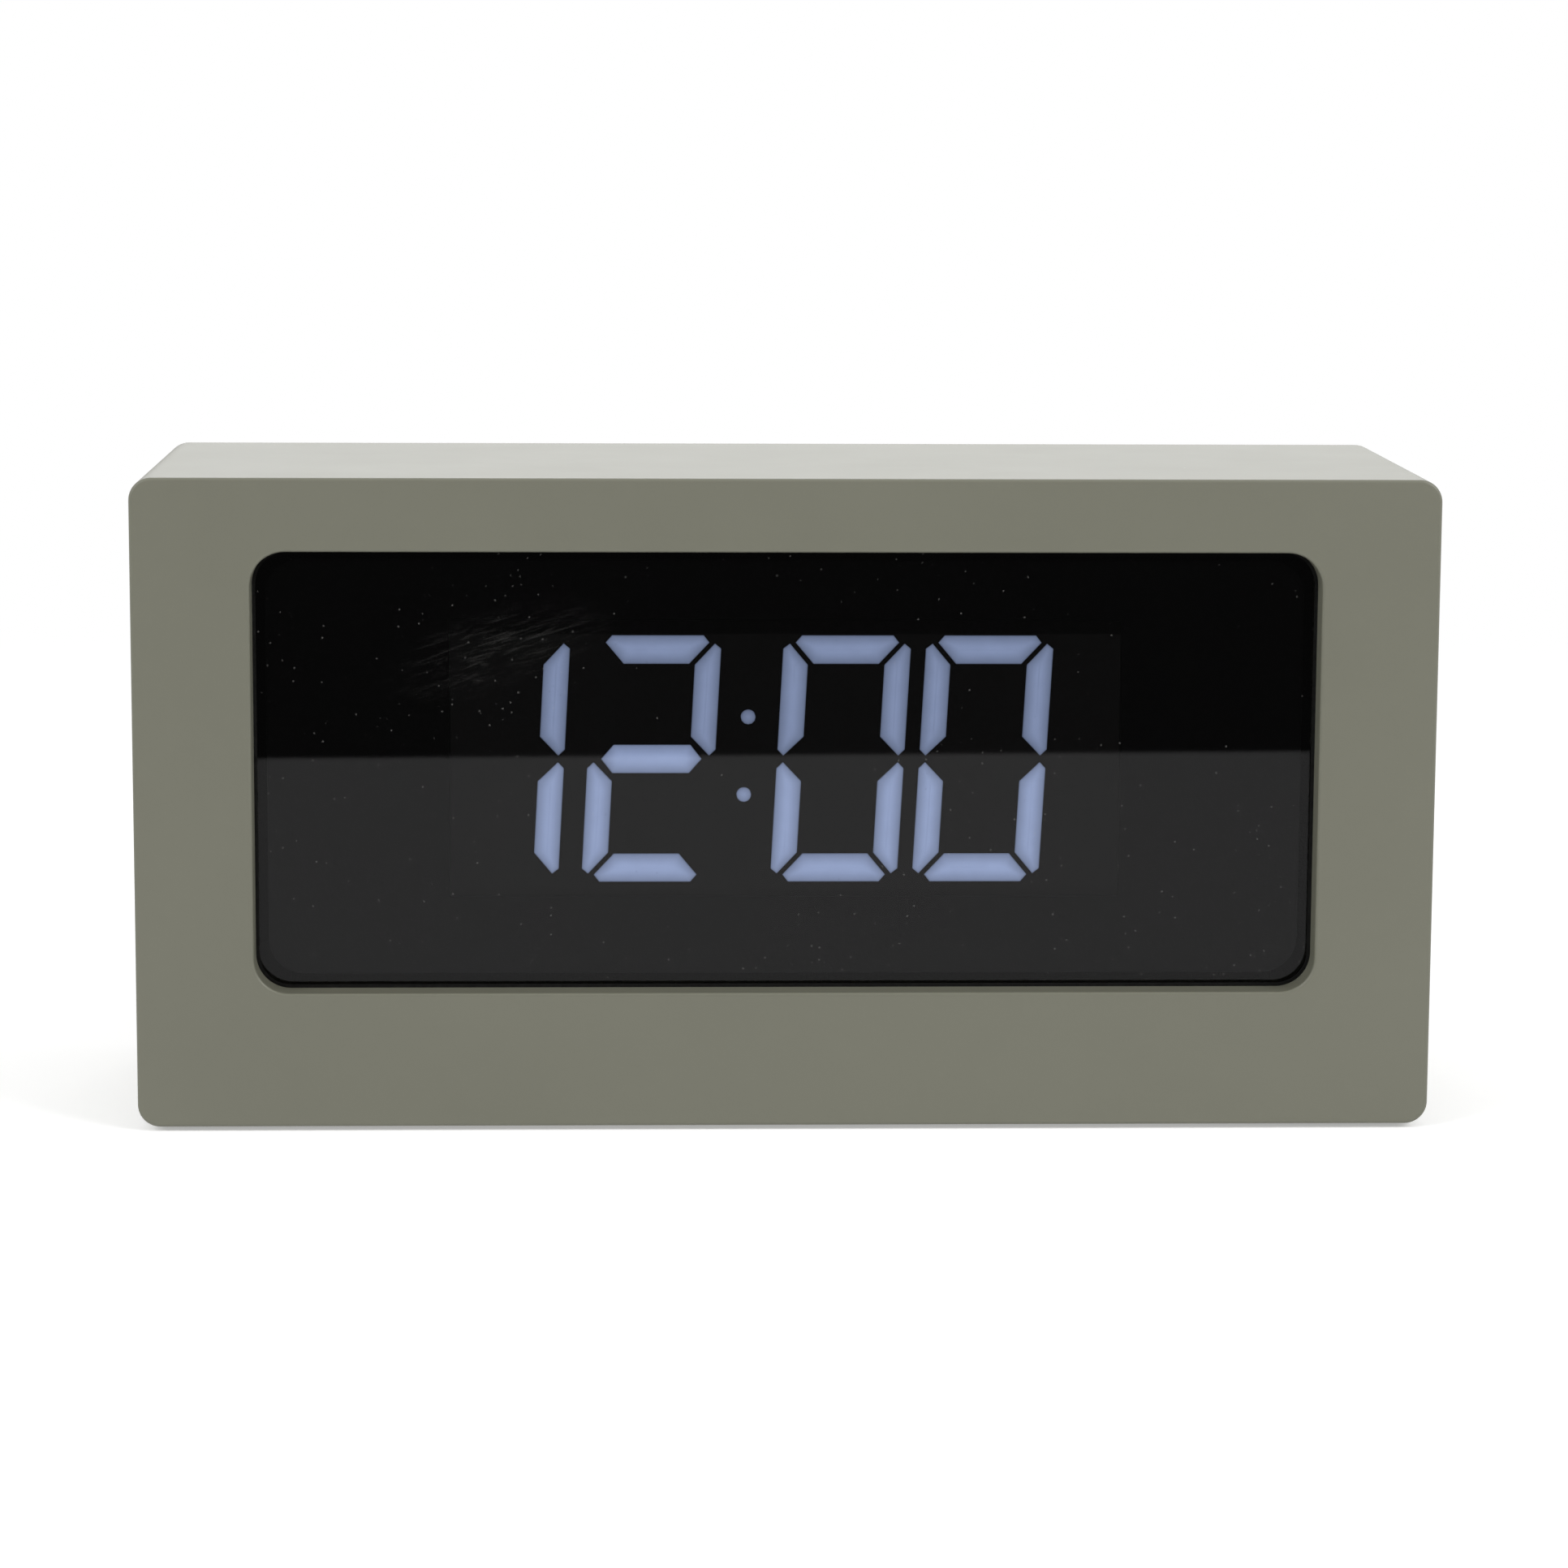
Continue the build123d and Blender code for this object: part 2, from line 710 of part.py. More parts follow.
with BuildPart() as rear_cover:
    with BuildSketch(facing(cover_front)):
        with Locations((0, housing_mid_z)):
            RectangleRounded(cover_width, cover_height, cover_corner_radius)
    extrude(amount=-cover_thickness)
    with BuildSketch(facing(battery_box_front)):
        with Locations((0, door_z)):
            Rectangle(opening_width + 2 * battery_box_wall, opening_height + 2 * battery_box_wall)
    extrude(amount=-(cover_front - battery_box_front))
    with BuildSketch(facing(door_seat)):
        with Locations((0, door_z)):
            Rectangle(opening_width, opening_height)
    extrude(amount=-(cover_back - door_seat), mode=Mode.SUBTRACT)
    with BuildSketch(facing(cell_floor)):
        with Locations((0, door_z)):
            Rectangle(cavity_width, cavity_height)
    extrude(amount=-(door_seat - cell_floor), mode=Mode.SUBTRACT)
    with BuildSketch(facing(cell_floor)):
        with Locations((0, door_z)):
            Rectangle(cavity_width - 2 * partition_end_gap, partition_thickness)
    extrude(amount=-partition_height)
    with BuildSketch(facing(battery_box_front)):
        with Locations((terminal_x, upper_row_z), (terminal_x, lower_row_z)):
            Rectangle(contact_thickness + 2 * contact_slot_clearance,
                      contact_tail_width + 2 * contact_slot_clearance)
    extrude(amount=-battery_floor, mode=Mode.SUBTRACT)
    with BuildSketch(facing(cover_back)):
        with Locations((0, door_top + door_clearance)):
            Rectangle(latch_width + 2 * door_clearance, latch_reach + nail_room,
                      align=(Align.CENTER, Align.MIN))
    extrude(amount=nail_depth, mode=Mode.SUBTRACT)
    with BuildSketch(Plane.YZ.offset(-opening_width / 2 - hinge_pin_length)):
        with Locations((front_y + hinge_depth, hinge_z)):
            Circle(hinge_pin_radius + hinge_pin_clearance)
    extrude(amount=opening_width + 2 * hinge_pin_length, mode=Mode.SUBTRACT)
    with BuildSketch(facing(cover_front)):
        with Locations(*control_screw_places):
            Circle(board_boss_radius)
    extrude(amount=board_stand_off)
    with BuildSketch(facing(control_board_back)):
        with Locations(*control_screw_places):
            Circle(small_screw_radius + screw_fit)
    extrude(amount=-small_pilot_depth, mode=Mode.SUBTRACT)
    with BuildSketch(facing(cover_front)):
        with Locations(*post_places):
            Circle(cover_screw_radius + screw_hole_clearance)
        with Locations(*button_places):
            Circle(button_radius + button_clearance)
        with Locations(*sound_places):
            Circle(sound_hole_radius)
        with Locations((slide_switch_x, control_z)):
            Rectangle(slide_slot_length, slide_slot_height)
        with Locations((usb_x, control_z)):
            SlotOverall(usb_width + 2 * usb_clearance, usb_height + 2 * usb_clearance)
    extrude(amount=-cover_thickness, mode=Mode.SUBTRACT)
    with BuildSketch(facing(cover_back)):
        with Locations(*post_places):
            Circle(cover_head_radius + cover_head_clearance)
    extrude(amount=cover_counterbore_depth, mode=Mode.SUBTRACT)
write(rear_cover, "rear_cover")

rear_cover_screws = screws_at(post_places, cover_back - cover_counterbore_depth, 1, cover_screw_radius,
                              cover_screw_length, cover_head_radius, cover_head_height)
write(rear_cover_screws, "rear_cover_screws")

# Battery door, turning on two stub pins at its lower edge

grip_rib_places = [
    (0, door_top - (i + 1) * grip_rib_pitch) for i in range(grip_rib_count)
]

with BuildPart() as battery_door:
    with BuildSketch(facing(door_front)):
        with Locations((0, hinge_z)):
            Rectangle(door_width, door_top - hinge_z, align=(Align.CENTER, Align.MIN))
    extrude(amount=-door_thickness)
    with BuildSketch(Plane.YZ.offset(-door_width / 2)):
        with Locations((front_y + hinge_depth, hinge_z)):
            Circle(door_thickness / 2)
    extrude(amount=door_width)
    with BuildSketch(Plane.YZ.offset(-door_width / 2 - hinge_pin_length + hinge_pin_end_gap)):
        with Locations((front_y + hinge_depth, hinge_z)):
            Circle(hinge_pin_radius)
    extrude(amount=door_width + 2 * (hinge_pin_length - hinge_pin_end_gap))
    with BuildSketch(facing(cover_back)):
        with Locations((0, door_top)):
            Rectangle(latch_width, 2 * latch_reach)
    extrude(amount=latch_thickness)
    with BuildSketch(facing(cover_back)):
        with Locations(*grip_rib_places):
            Rectangle(grip_rib_width, grip_rib_height)
    extrude(amount=-grip_rib_proud)
write(battery_door, "battery_door")

with BuildPart() as door_pad:
    with BuildSketch(facing(door_front)):
        with Locations((0, door_z)):
            Rectangle(door_pad_width, door_pad_height)
    extrude(amount=door_pad_thickness)
write(door_pad, "door_pad")

# Cells: two rows of two, the upper row pointing left and the lower row right

row_length = 2 * cell_length + cell_gap
rows = [(upper_row_z, -1), (lower_row_z, 1)]
nub_end_gap = contact_thickness + contact_dimple_radius / 2 + cell_gap

cell_starts = []
for row_z, points_to in rows:
    nub_end = points_to * (cavity_width / 2 - nub_end_gap)
    for i in range(2):
        cell_starts.append((nub_end - points_to * i * (cell_length + cell_gap), row_z, points_to))

with BuildPart() as cell_cans:
    for nub_end, row_z, points_to in cell_starts:
        shoulder = nub_end - points_to * cell_nub_height
        with BuildSketch(Plane.YZ.offset(shoulder)):
            with Locations((front_y + cell_depth, row_z)):
                Circle(cell_can_radius)
        extrude(amount=-points_to * (cell_length - cell_nub_height))
        with BuildSketch(Plane.YZ.offset(shoulder)):
            with Locations((front_y + cell_depth, row_z)):
                Circle(cell_nub_radius)
        extrude(amount=points_to * cell_nub_height)
write(cell_cans, "cell_cans")

with BuildPart() as cell_sleeves:
    for nub_end, row_z, points_to in cell_starts:
        shoulder = nub_end - points_to * cell_nub_height
        with BuildSketch(Plane.YZ.offset(shoulder)):
            with Locations((front_y + cell_depth, row_z)):
                Circle(cell_radius)
                Circle(cell_can_radius + cell_sleeve_fit, mode=Mode.SUBTRACT)
        extrude(amount=-points_to * (cell_length - cell_nub_height))
write(cell_sleeves, "cell_sleeves")

# Contacts: two terminals with solder tails at the left and a link at the right


def contact_plate(side, row_zs, tail, dimple_row):
    """A contact plate against one end of the battery box, a dimple on one row."""
    wall_x = side * cavity_width / 2
    low_z = min(row_zs) - contact_size / 2
    high_z = max(row_zs) + contact_size / 2
    with BuildPart() as plate:
        with BuildSketch(Plane.YZ.offset(wall_x)):
            with Locations((front_y + cell_floor, (low_z + high_z) / 2)):
                Rectangle(contact_size, high_z - low_z, align=(Align.MIN, Align.CENTER))
            if tail:
                with Locations((front_y + cell_floor, row_zs[0])):
                    Rectangle(battery_floor + contact_tail_length, contact_tail_width,
                              align=(Align.MAX, Align.CENTER))
        extrude(amount=-side * contact_thickness)
        if dimple_row is not None:
            with BuildSketch(Plane.YZ.offset(wall_x - side * contact_thickness)):
                with Locations((front_y + cell_depth, dimple_row)):
                    Circle(contact_dimple_radius)
            extrude(amount=-side * contact_dimple_radius / 2)
    return plate


write(contact_plate(-1, [upper_row_z], True, upper_row_z), "positive_contact")
write(contact_plate(-1, [lower_row_z], True, None), "negative_contact")
write(contact_plate(1, [upper_row_z, lower_row_z], False, lower_row_z), "link_contact")

# Conical springs between the plates and the flat ends of the cells

flat_end_gap = cavity_width - nub_end_gap - row_length - contact_thickness
spring_height = flat_end_gap - 2 * (spring_wire_radius + spring_seat_gap)
spring_pitch = spring_height / spring_turns
spring_seats = [(1, upper_row_z), (-1, lower_row_z)]

with BuildPart() as contact_springs:
    for side, row_z in spring_seats:
        seat_x = side * (cavity_width / 2 - contact_thickness - spring_wire_radius - spring_seat_gap)
        with BuildLine() as coil:
            Helix(spring_pitch, spring_height, spring_base_radius,
                  center=(seat_x, front_y + cell_depth, row_z), direction=(-side, 0, 0),
                  cone_angle=-spring_cone_angle)
        with BuildSketch(Plane(origin=coil.line @ 0, z_dir=coil.line % 0)):
            Circle(spring_wire_radius)
        sweep(path=coil.line, is_frenet=True)
write(contact_springs, "contact_springs")

# Control board on its bosses, with the switches, socket, buzzer and small parts

with BuildPart() as control_board:
    with BuildSketch(facing(control_board_front)):
        with Locations((0, control_z)):
            RectangleRounded(control_board_width, control_board_height, board_corner_radius)
        with Locations(*control_screw_places):
            Circle(small_screw_radius + screw_hole_clearance, mode=Mode.SUBTRACT)
    extrude(amount=-board_thickness)
write(control_board, "control_board")

control_board_screws = screws_at(control_screw_places, control_board_front, -1, small_screw_radius,
                                 small_screw_length, small_head_radius, small_head_height)
write(control_board_screws, "control_board_screws")

with BuildPart() as switch_cases:
    with BuildSketch(facing(control_board_back)):
        with Locations(*button_places):
            Rectangle(switch_case_size, switch_case_size)
    extrude(amount=-switch_case_height)
    with BuildSketch(facing(control_board_back + switch_case_height)):
        with Locations(*button_places):
            Circle(switch_plunger_radius + switch_bore_clearance)
    extrude(amount=switch_bore_depth, mode=Mode.SUBTRACT)
write(switch_cases, "switch_cases")

plunger_top = control_board_back + switch_case_height + switch_plunger_height
for name, button_place in zip(button_names, button_places):
    with BuildPart() as plunger:
        with BuildSketch(facing(plunger_top)):
            with Locations(button_place):
                Circle(switch_plunger_radius)
        extrude(amount=switch_plunger_height + switch_plunger_sunk)
    write(plunger, f"{name}_switch_plunger")
    with BuildPart() as cap:
        with BuildSketch(facing(plunger_top)):
            with Locations(button_place):
                Circle(button_flange_radius)
        extrude(amount=-button_flange_thickness)
        with BuildSketch(facing(plunger_top)):
            with Locations(button_place):
                Circle(button_radius)
        extrude(amount=-(cover_back + button_proud - plunger_top))
        fillet(cap.edges().sort_by(Axis.Y)[-1], button_edge_round)
        with BuildSketch(facing(cover_back + button_proud)):
            with Locations(button_place):
                Circle(button_dish_radius)
        extrude(amount=button_dish_depth, mode=Mode.SUBTRACT)
    write(cap, f"{name}_button")

# Slide switch: its knob rests at the left end of the slot

knob_x = slide_switch_x - slide_travel / 2
case_back = control_board_back + slide_case_depth
skirt_back = cover_front - slide_skirt_gap
skirt_length = slide_slot_length + slide_travel + 2 * slide_skirt_overlap
skirt_height = slide_slot_height + 2 * slide_skirt_overlap

with BuildPart() as slide_switch_case:
    with BuildSketch(facing(control_board_back)):
        with Locations((slide_switch_x, control_z)):
            Rectangle(slide_case_length, slide_case_height)
    extrude(amount=-slide_case_depth)
    with BuildSketch(facing(case_back)):
        with Locations((slide_switch_x, control_z)):
            Rectangle(slide_travel + slide_stem_size + 2 * slide_clearance,
                      slide_stem_size + 2 * slide_clearance)
    extrude(amount=slide_stem_sunk + slide_clearance, mode=Mode.SUBTRACT)
write(slide_switch_case, "slide_switch_case")

with BuildPart() as slide_switch_knob:
    with BuildSketch(facing(case_back - slide_stem_sunk)):
        with Locations((knob_x, control_z)):
            Rectangle(slide_stem_size, slide_stem_size)
    extrude(amount=-(skirt_back - case_back + slide_stem_sunk))
    with BuildSketch(facing(skirt_back)):
        with Locations((knob_x, control_z)):
            Rectangle(skirt_length, skirt_height)
    extrude(amount=slide_skirt_thickness)
    with BuildSketch(facing(skirt_back)):
        with Locations((knob_x, control_z)):
            Rectangle(slide_knob_length, slide_knob_height)
    extrude(amount=-(cover_back + slide_knob_proud - skirt_back))
    with BuildSketch(facing(cover_back + slide_knob_proud)):
        with Locations((knob_x, control_z)):
            with GridLocations(2 * slide_grip_width, 0, 3, 1):
                Rectangle(slide_grip_width, slide_knob_height)
    extrude(amount=slide_grip_depth, mode=Mode.SUBTRACT)
write(slide_switch_knob, "slide_switch_knob")

# Power socket standing on the board behind its slot in the cover

with BuildPart() as power_socket_shell:
    with BuildSketch(facing(control_board_back)):
        with Locations((usb_x, control_z)):
            SlotOverall(usb_width, usb_height)
    extrude(amount=-usb_length)
    with BuildSketch(facing(control_board_back + usb_length)):
        with Locations((usb_x, control_z)):
            SlotOverall(usb_width - 2 * usb_wall, usb_height - 2 * usb_wall)
    extrude(amount=usb_length - usb_floor, mode=Mode.SUBTRACT)
write(power_socket_shell, "power_socket_shell")

with BuildPart() as power_socket_tongue:
    with BuildSketch(facing(control_board_back + usb_floor)):
        with Locations((usb_x, control_z)):
            Rectangle(usb_tongue_width, usb_tongue_thickness)
    extrude(amount=-(usb_length - usb_floor - usb_tongue_setback))
write(power_socket_tongue, "power_socket_tongue")

with BuildPart() as buzzer:
    with BuildSketch(facing(control_board_back)):
        with Locations((buzzer_x, control_z)):
            Circle(buzzer_radius)
    extrude(amount=-buzzer_height)
    with BuildSketch(facing(control_board_back + buzzer_height)):
        with Locations((buzzer_x, control_z)):
            Circle(buzzer_port_radius)
    extrude(amount=buzzer_port_depth, mode=Mode.SUBTRACT)
write(buzzer, "buzzer")

controller_chip = chip_on(control_board_front, 1, (controller_x, control_z), controller_size,
                          controller_size, controller_height, controller_lead_pairs)
write(controller_chip, "controller_chip")

with BuildPart() as quartz_crystal:
    with BuildSketch(facing(control_board_front)):
        with Locations((crystal_x, control_z)):
            SlotOverall(crystal_length, crystal_width)
    extrude(amount=crystal_height)
write(quartz_crystal, "quartz_crystal")

with BuildPart() as capacitor:
    with BuildSketch(facing(control_board_front)):
        with Locations((capacitor_x, control_z)):
            Rectangle(2 * capacitor_radius, 2 * capacitor_radius)
    extrude(amount=capacitor_base_height)
    with BuildSketch(facing(control_board_front)):
        with Locations((capacitor_x, control_z)):
            Circle(capacitor_radius)
    extrude(amount=capacitor_height)
write(capacitor, "capacitor")

# Ribbon cable between the two boards, an easy S in a plane of its own

control_socket = socket_on(control_board_front, 1, (ribbon_mid_x, control_z))
write(control_socket, "control_socket")

ribbon_start = front_y + display_board_back + socket_height
ribbon_end = front_y + control_board_front - socket_height
ribbon_points = [
    (ribbon_start, display_socket_z),
    (ribbon_start + ribbon_straight, display_socket_z),
    (ribbon_end - ribbon_straight, control_z),
    (ribbon_end, control_z),
]


def bend_radii(points):
    """Radius at each inner point: a share of the shorter run over the tangent of half the turn."""
    radii = []
    for before, here, after in zip(points, points[1:], points[2:]):
        run_in = Vector(*here) - Vector(*before)
        run_out = Vector(*after) - Vector(*here)
        half_turn = math.radians(run_in.get_angle(run_out)) / 2
        radii.append(lead_bend_share * min(run_in.length, run_out.length) / math.tan(half_turn))
    return radii


with BuildPart() as ribbon_cable:
    with BuildSketch(Plane.YZ.offset(ribbon_mid_x - ribbon_width / 2)):
        with BuildLine():
            FilletPolyline(*ribbon_points, radius=bend_radii(ribbon_points))
        trace(line_width=ribbon_thickness)
    extrude(amount=ribbon_width)
write(ribbon_cable, "ribbon_cable")

# Battery leads from the solder tails up to the control board

tail_y = front_y + battery_box_front - contact_tail_length
board_front_y = front_y + control_board_front
lead_foot_z = control_z - control_board_height / 2 + 2 * lead_radius


def lead_from(row_z, sideways):
    """A lead from a solder tail, out, up and back to the lower edge of the control board."""
    start = (terminal_x, tail_y, row_z)
    rise = lead_foot_z - row_z
    points = [
        start,
        (terminal_x, tail_y - 3 * lead_radius, row_z),
        (terminal_x + sideways / 2, tail_y - 5 * lead_radius, row_z + rise / 3),
        (terminal_x + sideways, tail_y - 5 * lead_radius, row_z + 2 * rise / 3),
        (terminal_x + sideways, tail_y - 3 * lead_radius, lead_foot_z),
        (terminal_x + sideways, board_front_y, lead_foot_z),
    ]
    with BuildPart() as lead:
        with BuildLine() as route:
            FilletPolyline(*points, radius=bend_radii(points))
        with BuildSketch(Plane(origin=start, z_dir=(0, -1, 0))):
            Circle(lead_radius)
        sweep(path=route.line)
    return lead


write(lead_from(upper_row_z, 8 * lead_radius), "positive_lead")
write(lead_from(lower_row_z, 16 * lead_radius), "negative_lead")
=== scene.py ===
import json
import math

import bmesh
import bpy
import numpy as np
from mathutils import Matrix, Vector

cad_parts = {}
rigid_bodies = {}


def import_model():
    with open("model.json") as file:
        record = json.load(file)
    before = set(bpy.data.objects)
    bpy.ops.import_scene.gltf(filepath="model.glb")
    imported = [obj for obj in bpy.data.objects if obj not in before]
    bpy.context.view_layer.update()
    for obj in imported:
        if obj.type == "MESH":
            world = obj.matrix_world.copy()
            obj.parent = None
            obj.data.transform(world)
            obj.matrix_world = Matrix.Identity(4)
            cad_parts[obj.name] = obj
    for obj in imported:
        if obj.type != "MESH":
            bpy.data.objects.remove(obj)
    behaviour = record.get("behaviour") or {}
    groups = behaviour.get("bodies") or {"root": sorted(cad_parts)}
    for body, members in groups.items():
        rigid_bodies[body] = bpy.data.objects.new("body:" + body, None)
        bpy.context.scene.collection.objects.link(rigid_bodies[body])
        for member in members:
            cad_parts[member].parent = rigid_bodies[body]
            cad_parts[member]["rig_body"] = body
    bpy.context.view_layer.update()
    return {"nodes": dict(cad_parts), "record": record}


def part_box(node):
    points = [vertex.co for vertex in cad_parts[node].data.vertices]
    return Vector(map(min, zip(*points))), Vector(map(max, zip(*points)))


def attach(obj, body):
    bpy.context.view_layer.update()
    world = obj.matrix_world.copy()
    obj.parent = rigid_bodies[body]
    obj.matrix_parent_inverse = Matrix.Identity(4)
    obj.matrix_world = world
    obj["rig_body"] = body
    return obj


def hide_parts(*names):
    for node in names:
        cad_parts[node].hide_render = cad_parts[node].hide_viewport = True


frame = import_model()
nodes = frame["nodes"]
mm = 0.001
print("clock: frame loaded,", len(nodes), "nodes")

# shared places in millimetres; depths count backwards from the front face
frontY = -28.5
windowZ = 47.95
weldReach = 2e-7   # metres
sharpTurn = 34.0   # degrees between faces that count as an edge


# materials
finishes = {
    "housing_paint": {"colour": (0.170, 0.170, 0.130), "mottle": 0.018, "mottleScale": 38, "roughness": 0.41,
                      "spread": 0.012, "grain": 0.011, "grainScale": 2600, "dust": 0.004},
    "cover_plastic": {"colour": (0.160, 0.160, 0.123), "mottle": 0.025, "mottleScale": 60, "roughness": 0.52,
                      "spread": 0.03, "grain": 0.035, "grainScale": 1900, "dust": 0.003},
    "button_plastic": {"colour": (0.028, 0.028, 0.026), "mottle": 0.10, "mottleScale": 220, "roughness": 0.36,
                       "spread": 0.10, "grain": 0.012, "grainScale": 2600},
    "foot_rubber": {"colour": (0.022, 0.022, 0.022), "mottle": 0.18, "mottleScale": 320, "roughness": 0.78,
                    "spread": 0.10, "grain": 0.03, "grainScale": 1500},
    "black_foam": {"colour": (0.0065, 0.0065, 0.006), "mottle": 0.35, "mottleScale": 900, "roughness": 0.92,
                   "spread": 0.05, "grain": 0.12, "grainScale": 2400, "specular": 0.2},
    "black_plastic": {"colour": (0.005, 0.005, 0.005), "mottle": 0.12, "mottleScale": 180, "roughness": 0.62,
                      "spread": 0.08, "grain": 0.02, "grainScale": 2200, "specular": 0.12},
    "dark_segment": {"colour": (0.008, 0.008, 0.009), "mottle": 0.10, "mottleScale": 260, "roughness": 0.55,
                     "spread": 0.08, "grain": 0.01, "grainScale": 1800, "specular": 0.12, "leak": 0.0075,
                     "leakMiddle": 48.55, "leakReach": 17.3, "leakColour": (1.0, 0.98, 0.94, 1)},
    "circuit_board": {"colour": (0.012, 0.115, 0.040), "mottle": 0.22, "mottleScale": 260, "roughness": 0.32,
                      "spread": 0.10, "grain": 0.012, "grainScale": 1300},
    "chip_black": {"colour": (0.018, 0.018, 0.018), "mottle": 0.15, "mottleScale": 500, "roughness": 0.55,
                   "spread": 0.08, "grain": 0.02, "grainScale": 3200},
    "led_package": {"colour": (0.72, 0.66, 0.40), "mottle": 0.06, "mottleScale": 900, "roughness": 0.34,
                    "spread": 0.06, "grain": 0.006, "grainScale": 2000},
    "screw_steel": {"colour": (0.33, 0.33, 0.34), "mottle": 0.10, "mottleScale": 600, "roughness": 0.34,
                    "spread": 0.12, "grain": 0.010, "grainScale": 1600, "metal": 1.0},
    "contact_steel": {"colour": (0.62, 0.61, 0.58), "mottle": 0.08, "mottleScale": 350, "roughness": 0.24,
                      "spread": 0.12, "grain": 0.008, "grainScale": 1200, "metal": 1.0},
    "cell_metal": {"colour": (0.60, 0.60, 0.61), "mottle": 0.07, "mottleScale": 300, "roughness": 0.26,
                   "spread": 0.10, "grain": 0.006, "grainScale": 1200, "metal": 1.0},
    "cell_jacket": {"colour": (0.024, 0.062, 0.058), "mottle": 0.10, "mottleScale": 120, "roughness": 0.26,
                    "spread": 0.08, "grain": 0.006, "grainScale": 900},
    "socket_metal": {"colour": (0.56, 0.56, 0.56), "mottle": 0.08, "mottleScale": 700, "roughness": 0.28,
                     "spread": 0.10, "grain": 0.008, "grainScale": 1800, "metal": 1.0},
    "socket_plastic": {"colour": (0.58, 0.55, 0.46), "mottle": 0.08, "mottleScale": 300, "roughness": 0.48,
                       "spread": 0.08, "grain": 0.014, "grainScale": 2000},
    "ribbon_grey": {"colour": (0.40, 0.40, 0.41), "mottle": 0.08, "mottleScale": 200, "roughness": 0.46,
                    "spread": 0.08, "grain": 0.01, "grainScale": 900},
    "lead_red": {"colour": (0.42, 0.018, 0.016), "mottle": 0.08, "mottleScale": 300, "roughness": 0.38,
                 "spread": 0.08, "grain": 0.008, "grainScale": 1200},
    "lead_black": {"colour": (0.018, 0.018, 0.018), "mottle": 0.12, "mottleScale": 300, "roughness": 0.38,
                   "spread": 0.08, "grain": 0.008, "grainScale": 1200},
    "legend_ink": {"colour": (0.52, 0.52, 0.48), "mottle": 0.08, "mottleScale": 900, "roughness": 0.60,
                   "spread": 0.06, "grain": 0.006, "grainScale": 2600},
}


# a new node, with settings and socket values by name
def nodeIn(tree, kind, **values):
    made = tree.nodes.new(kind)
    for key, value in values.items():
        if hasattr(made, key):
            setattr(made, key, value)
        else:
            made.inputs[key.replace("_", " ")].default_value = value
    return made


# a material with nothing in it but its output
def emptyMaterial(name):
    material = bpy.data.materials.new(name)
    material.use_nodes = True
    material.node_tree.nodes.clear()
    output = material.node_tree.nodes.new("ShaderNodeOutputMaterial")
    return material, material.node_tree, output


# values for some sockets of a node, by name or number
def setInputs(node, values):
    for socket, value in values.items():
        node.inputs[socket].default_value = value


rangeSockets = ("From Min", "From Max", "To Min", "To Max")
octaves = {"roughness": 0.6, "mottle": 3, "polish": 4, "polishScale": 1.7, "grain": 2}


# noise on object coordinates, brought to the range low..high
def noiseRange(tree, coordinates, scale, detail, low, high, window=(0.3, 0.7), twist=0.0):
    noise = nodeIn(tree, "ShaderNodeTexNoise", Scale=scale, Detail=detail, Roughness=octaves["roughness"],
                   Distortion=twist)
    ranged = nodeIn(tree, "ShaderNodeMapRange", clamp=True)
    setInputs(ranged, dict(zip(rangeSockets, (*window, low, high))))
    tree.links.new(coordinates, noise.inputs["Vector"])
    tree.links.new(noise.outputs["Fac"], ranged.inputs["Value"])
    return ranged.outputs["Result"]


# how the share of cells with a speck drifts, and the part of a speck's radius that has full cover
speckDrift = {"scale": 22, "detail": 2, "window": (0.38, 0.62), "core": 0.4}
paintDust = {"scale": 500, "size": 0.09, "colour": (0.42, 0.42, 0.38, 1)}


# tiny bright grains: the middle of each Voronoi cell whose own value is under a share that drifts
def specks(tree, coordinates, scale, size, share):
    cells = nodeIn(tree, "ShaderNodeTexVoronoi", Scale=scale, feature="F1")
    near = nodeIn(tree, "ShaderNodeMapRange", clamp=True)
    setInputs(near, dict(zip(rangeSockets, (size, size * speckDrift["core"], 0.0, 1.0))))
    split = nodeIn(tree, "ShaderNodeSeparateColor")
    chosen = nodeIn(tree, "ShaderNodeMath", operation="LESS_THAN")
    both = nodeIn(tree, "ShaderNodeMath", operation="MULTIPLY")
    drifting = noiseRange(tree, coordinates, speckDrift["scale"], speckDrift["detail"], 0.0, 2 * share,
                          speckDrift["window"])
    tree.links.new(drifting, chosen.inputs[1])
    tree.links.new(coordinates, cells.inputs["Vector"])
    tree.links.new(cells.outputs["Distance"], near.inputs["Value"])
    tree.links.new(cells.outputs["Color"], split.inputs["Color"])
    tree.links.new(split.outputs["Red"], chosen.inputs[0])
    tree.links.new(near.outputs["Result"], both.inputs[0])
    tree.links.new(chosen.outputs["Value"], both.inputs[1])
    return both.outputs["Value"]


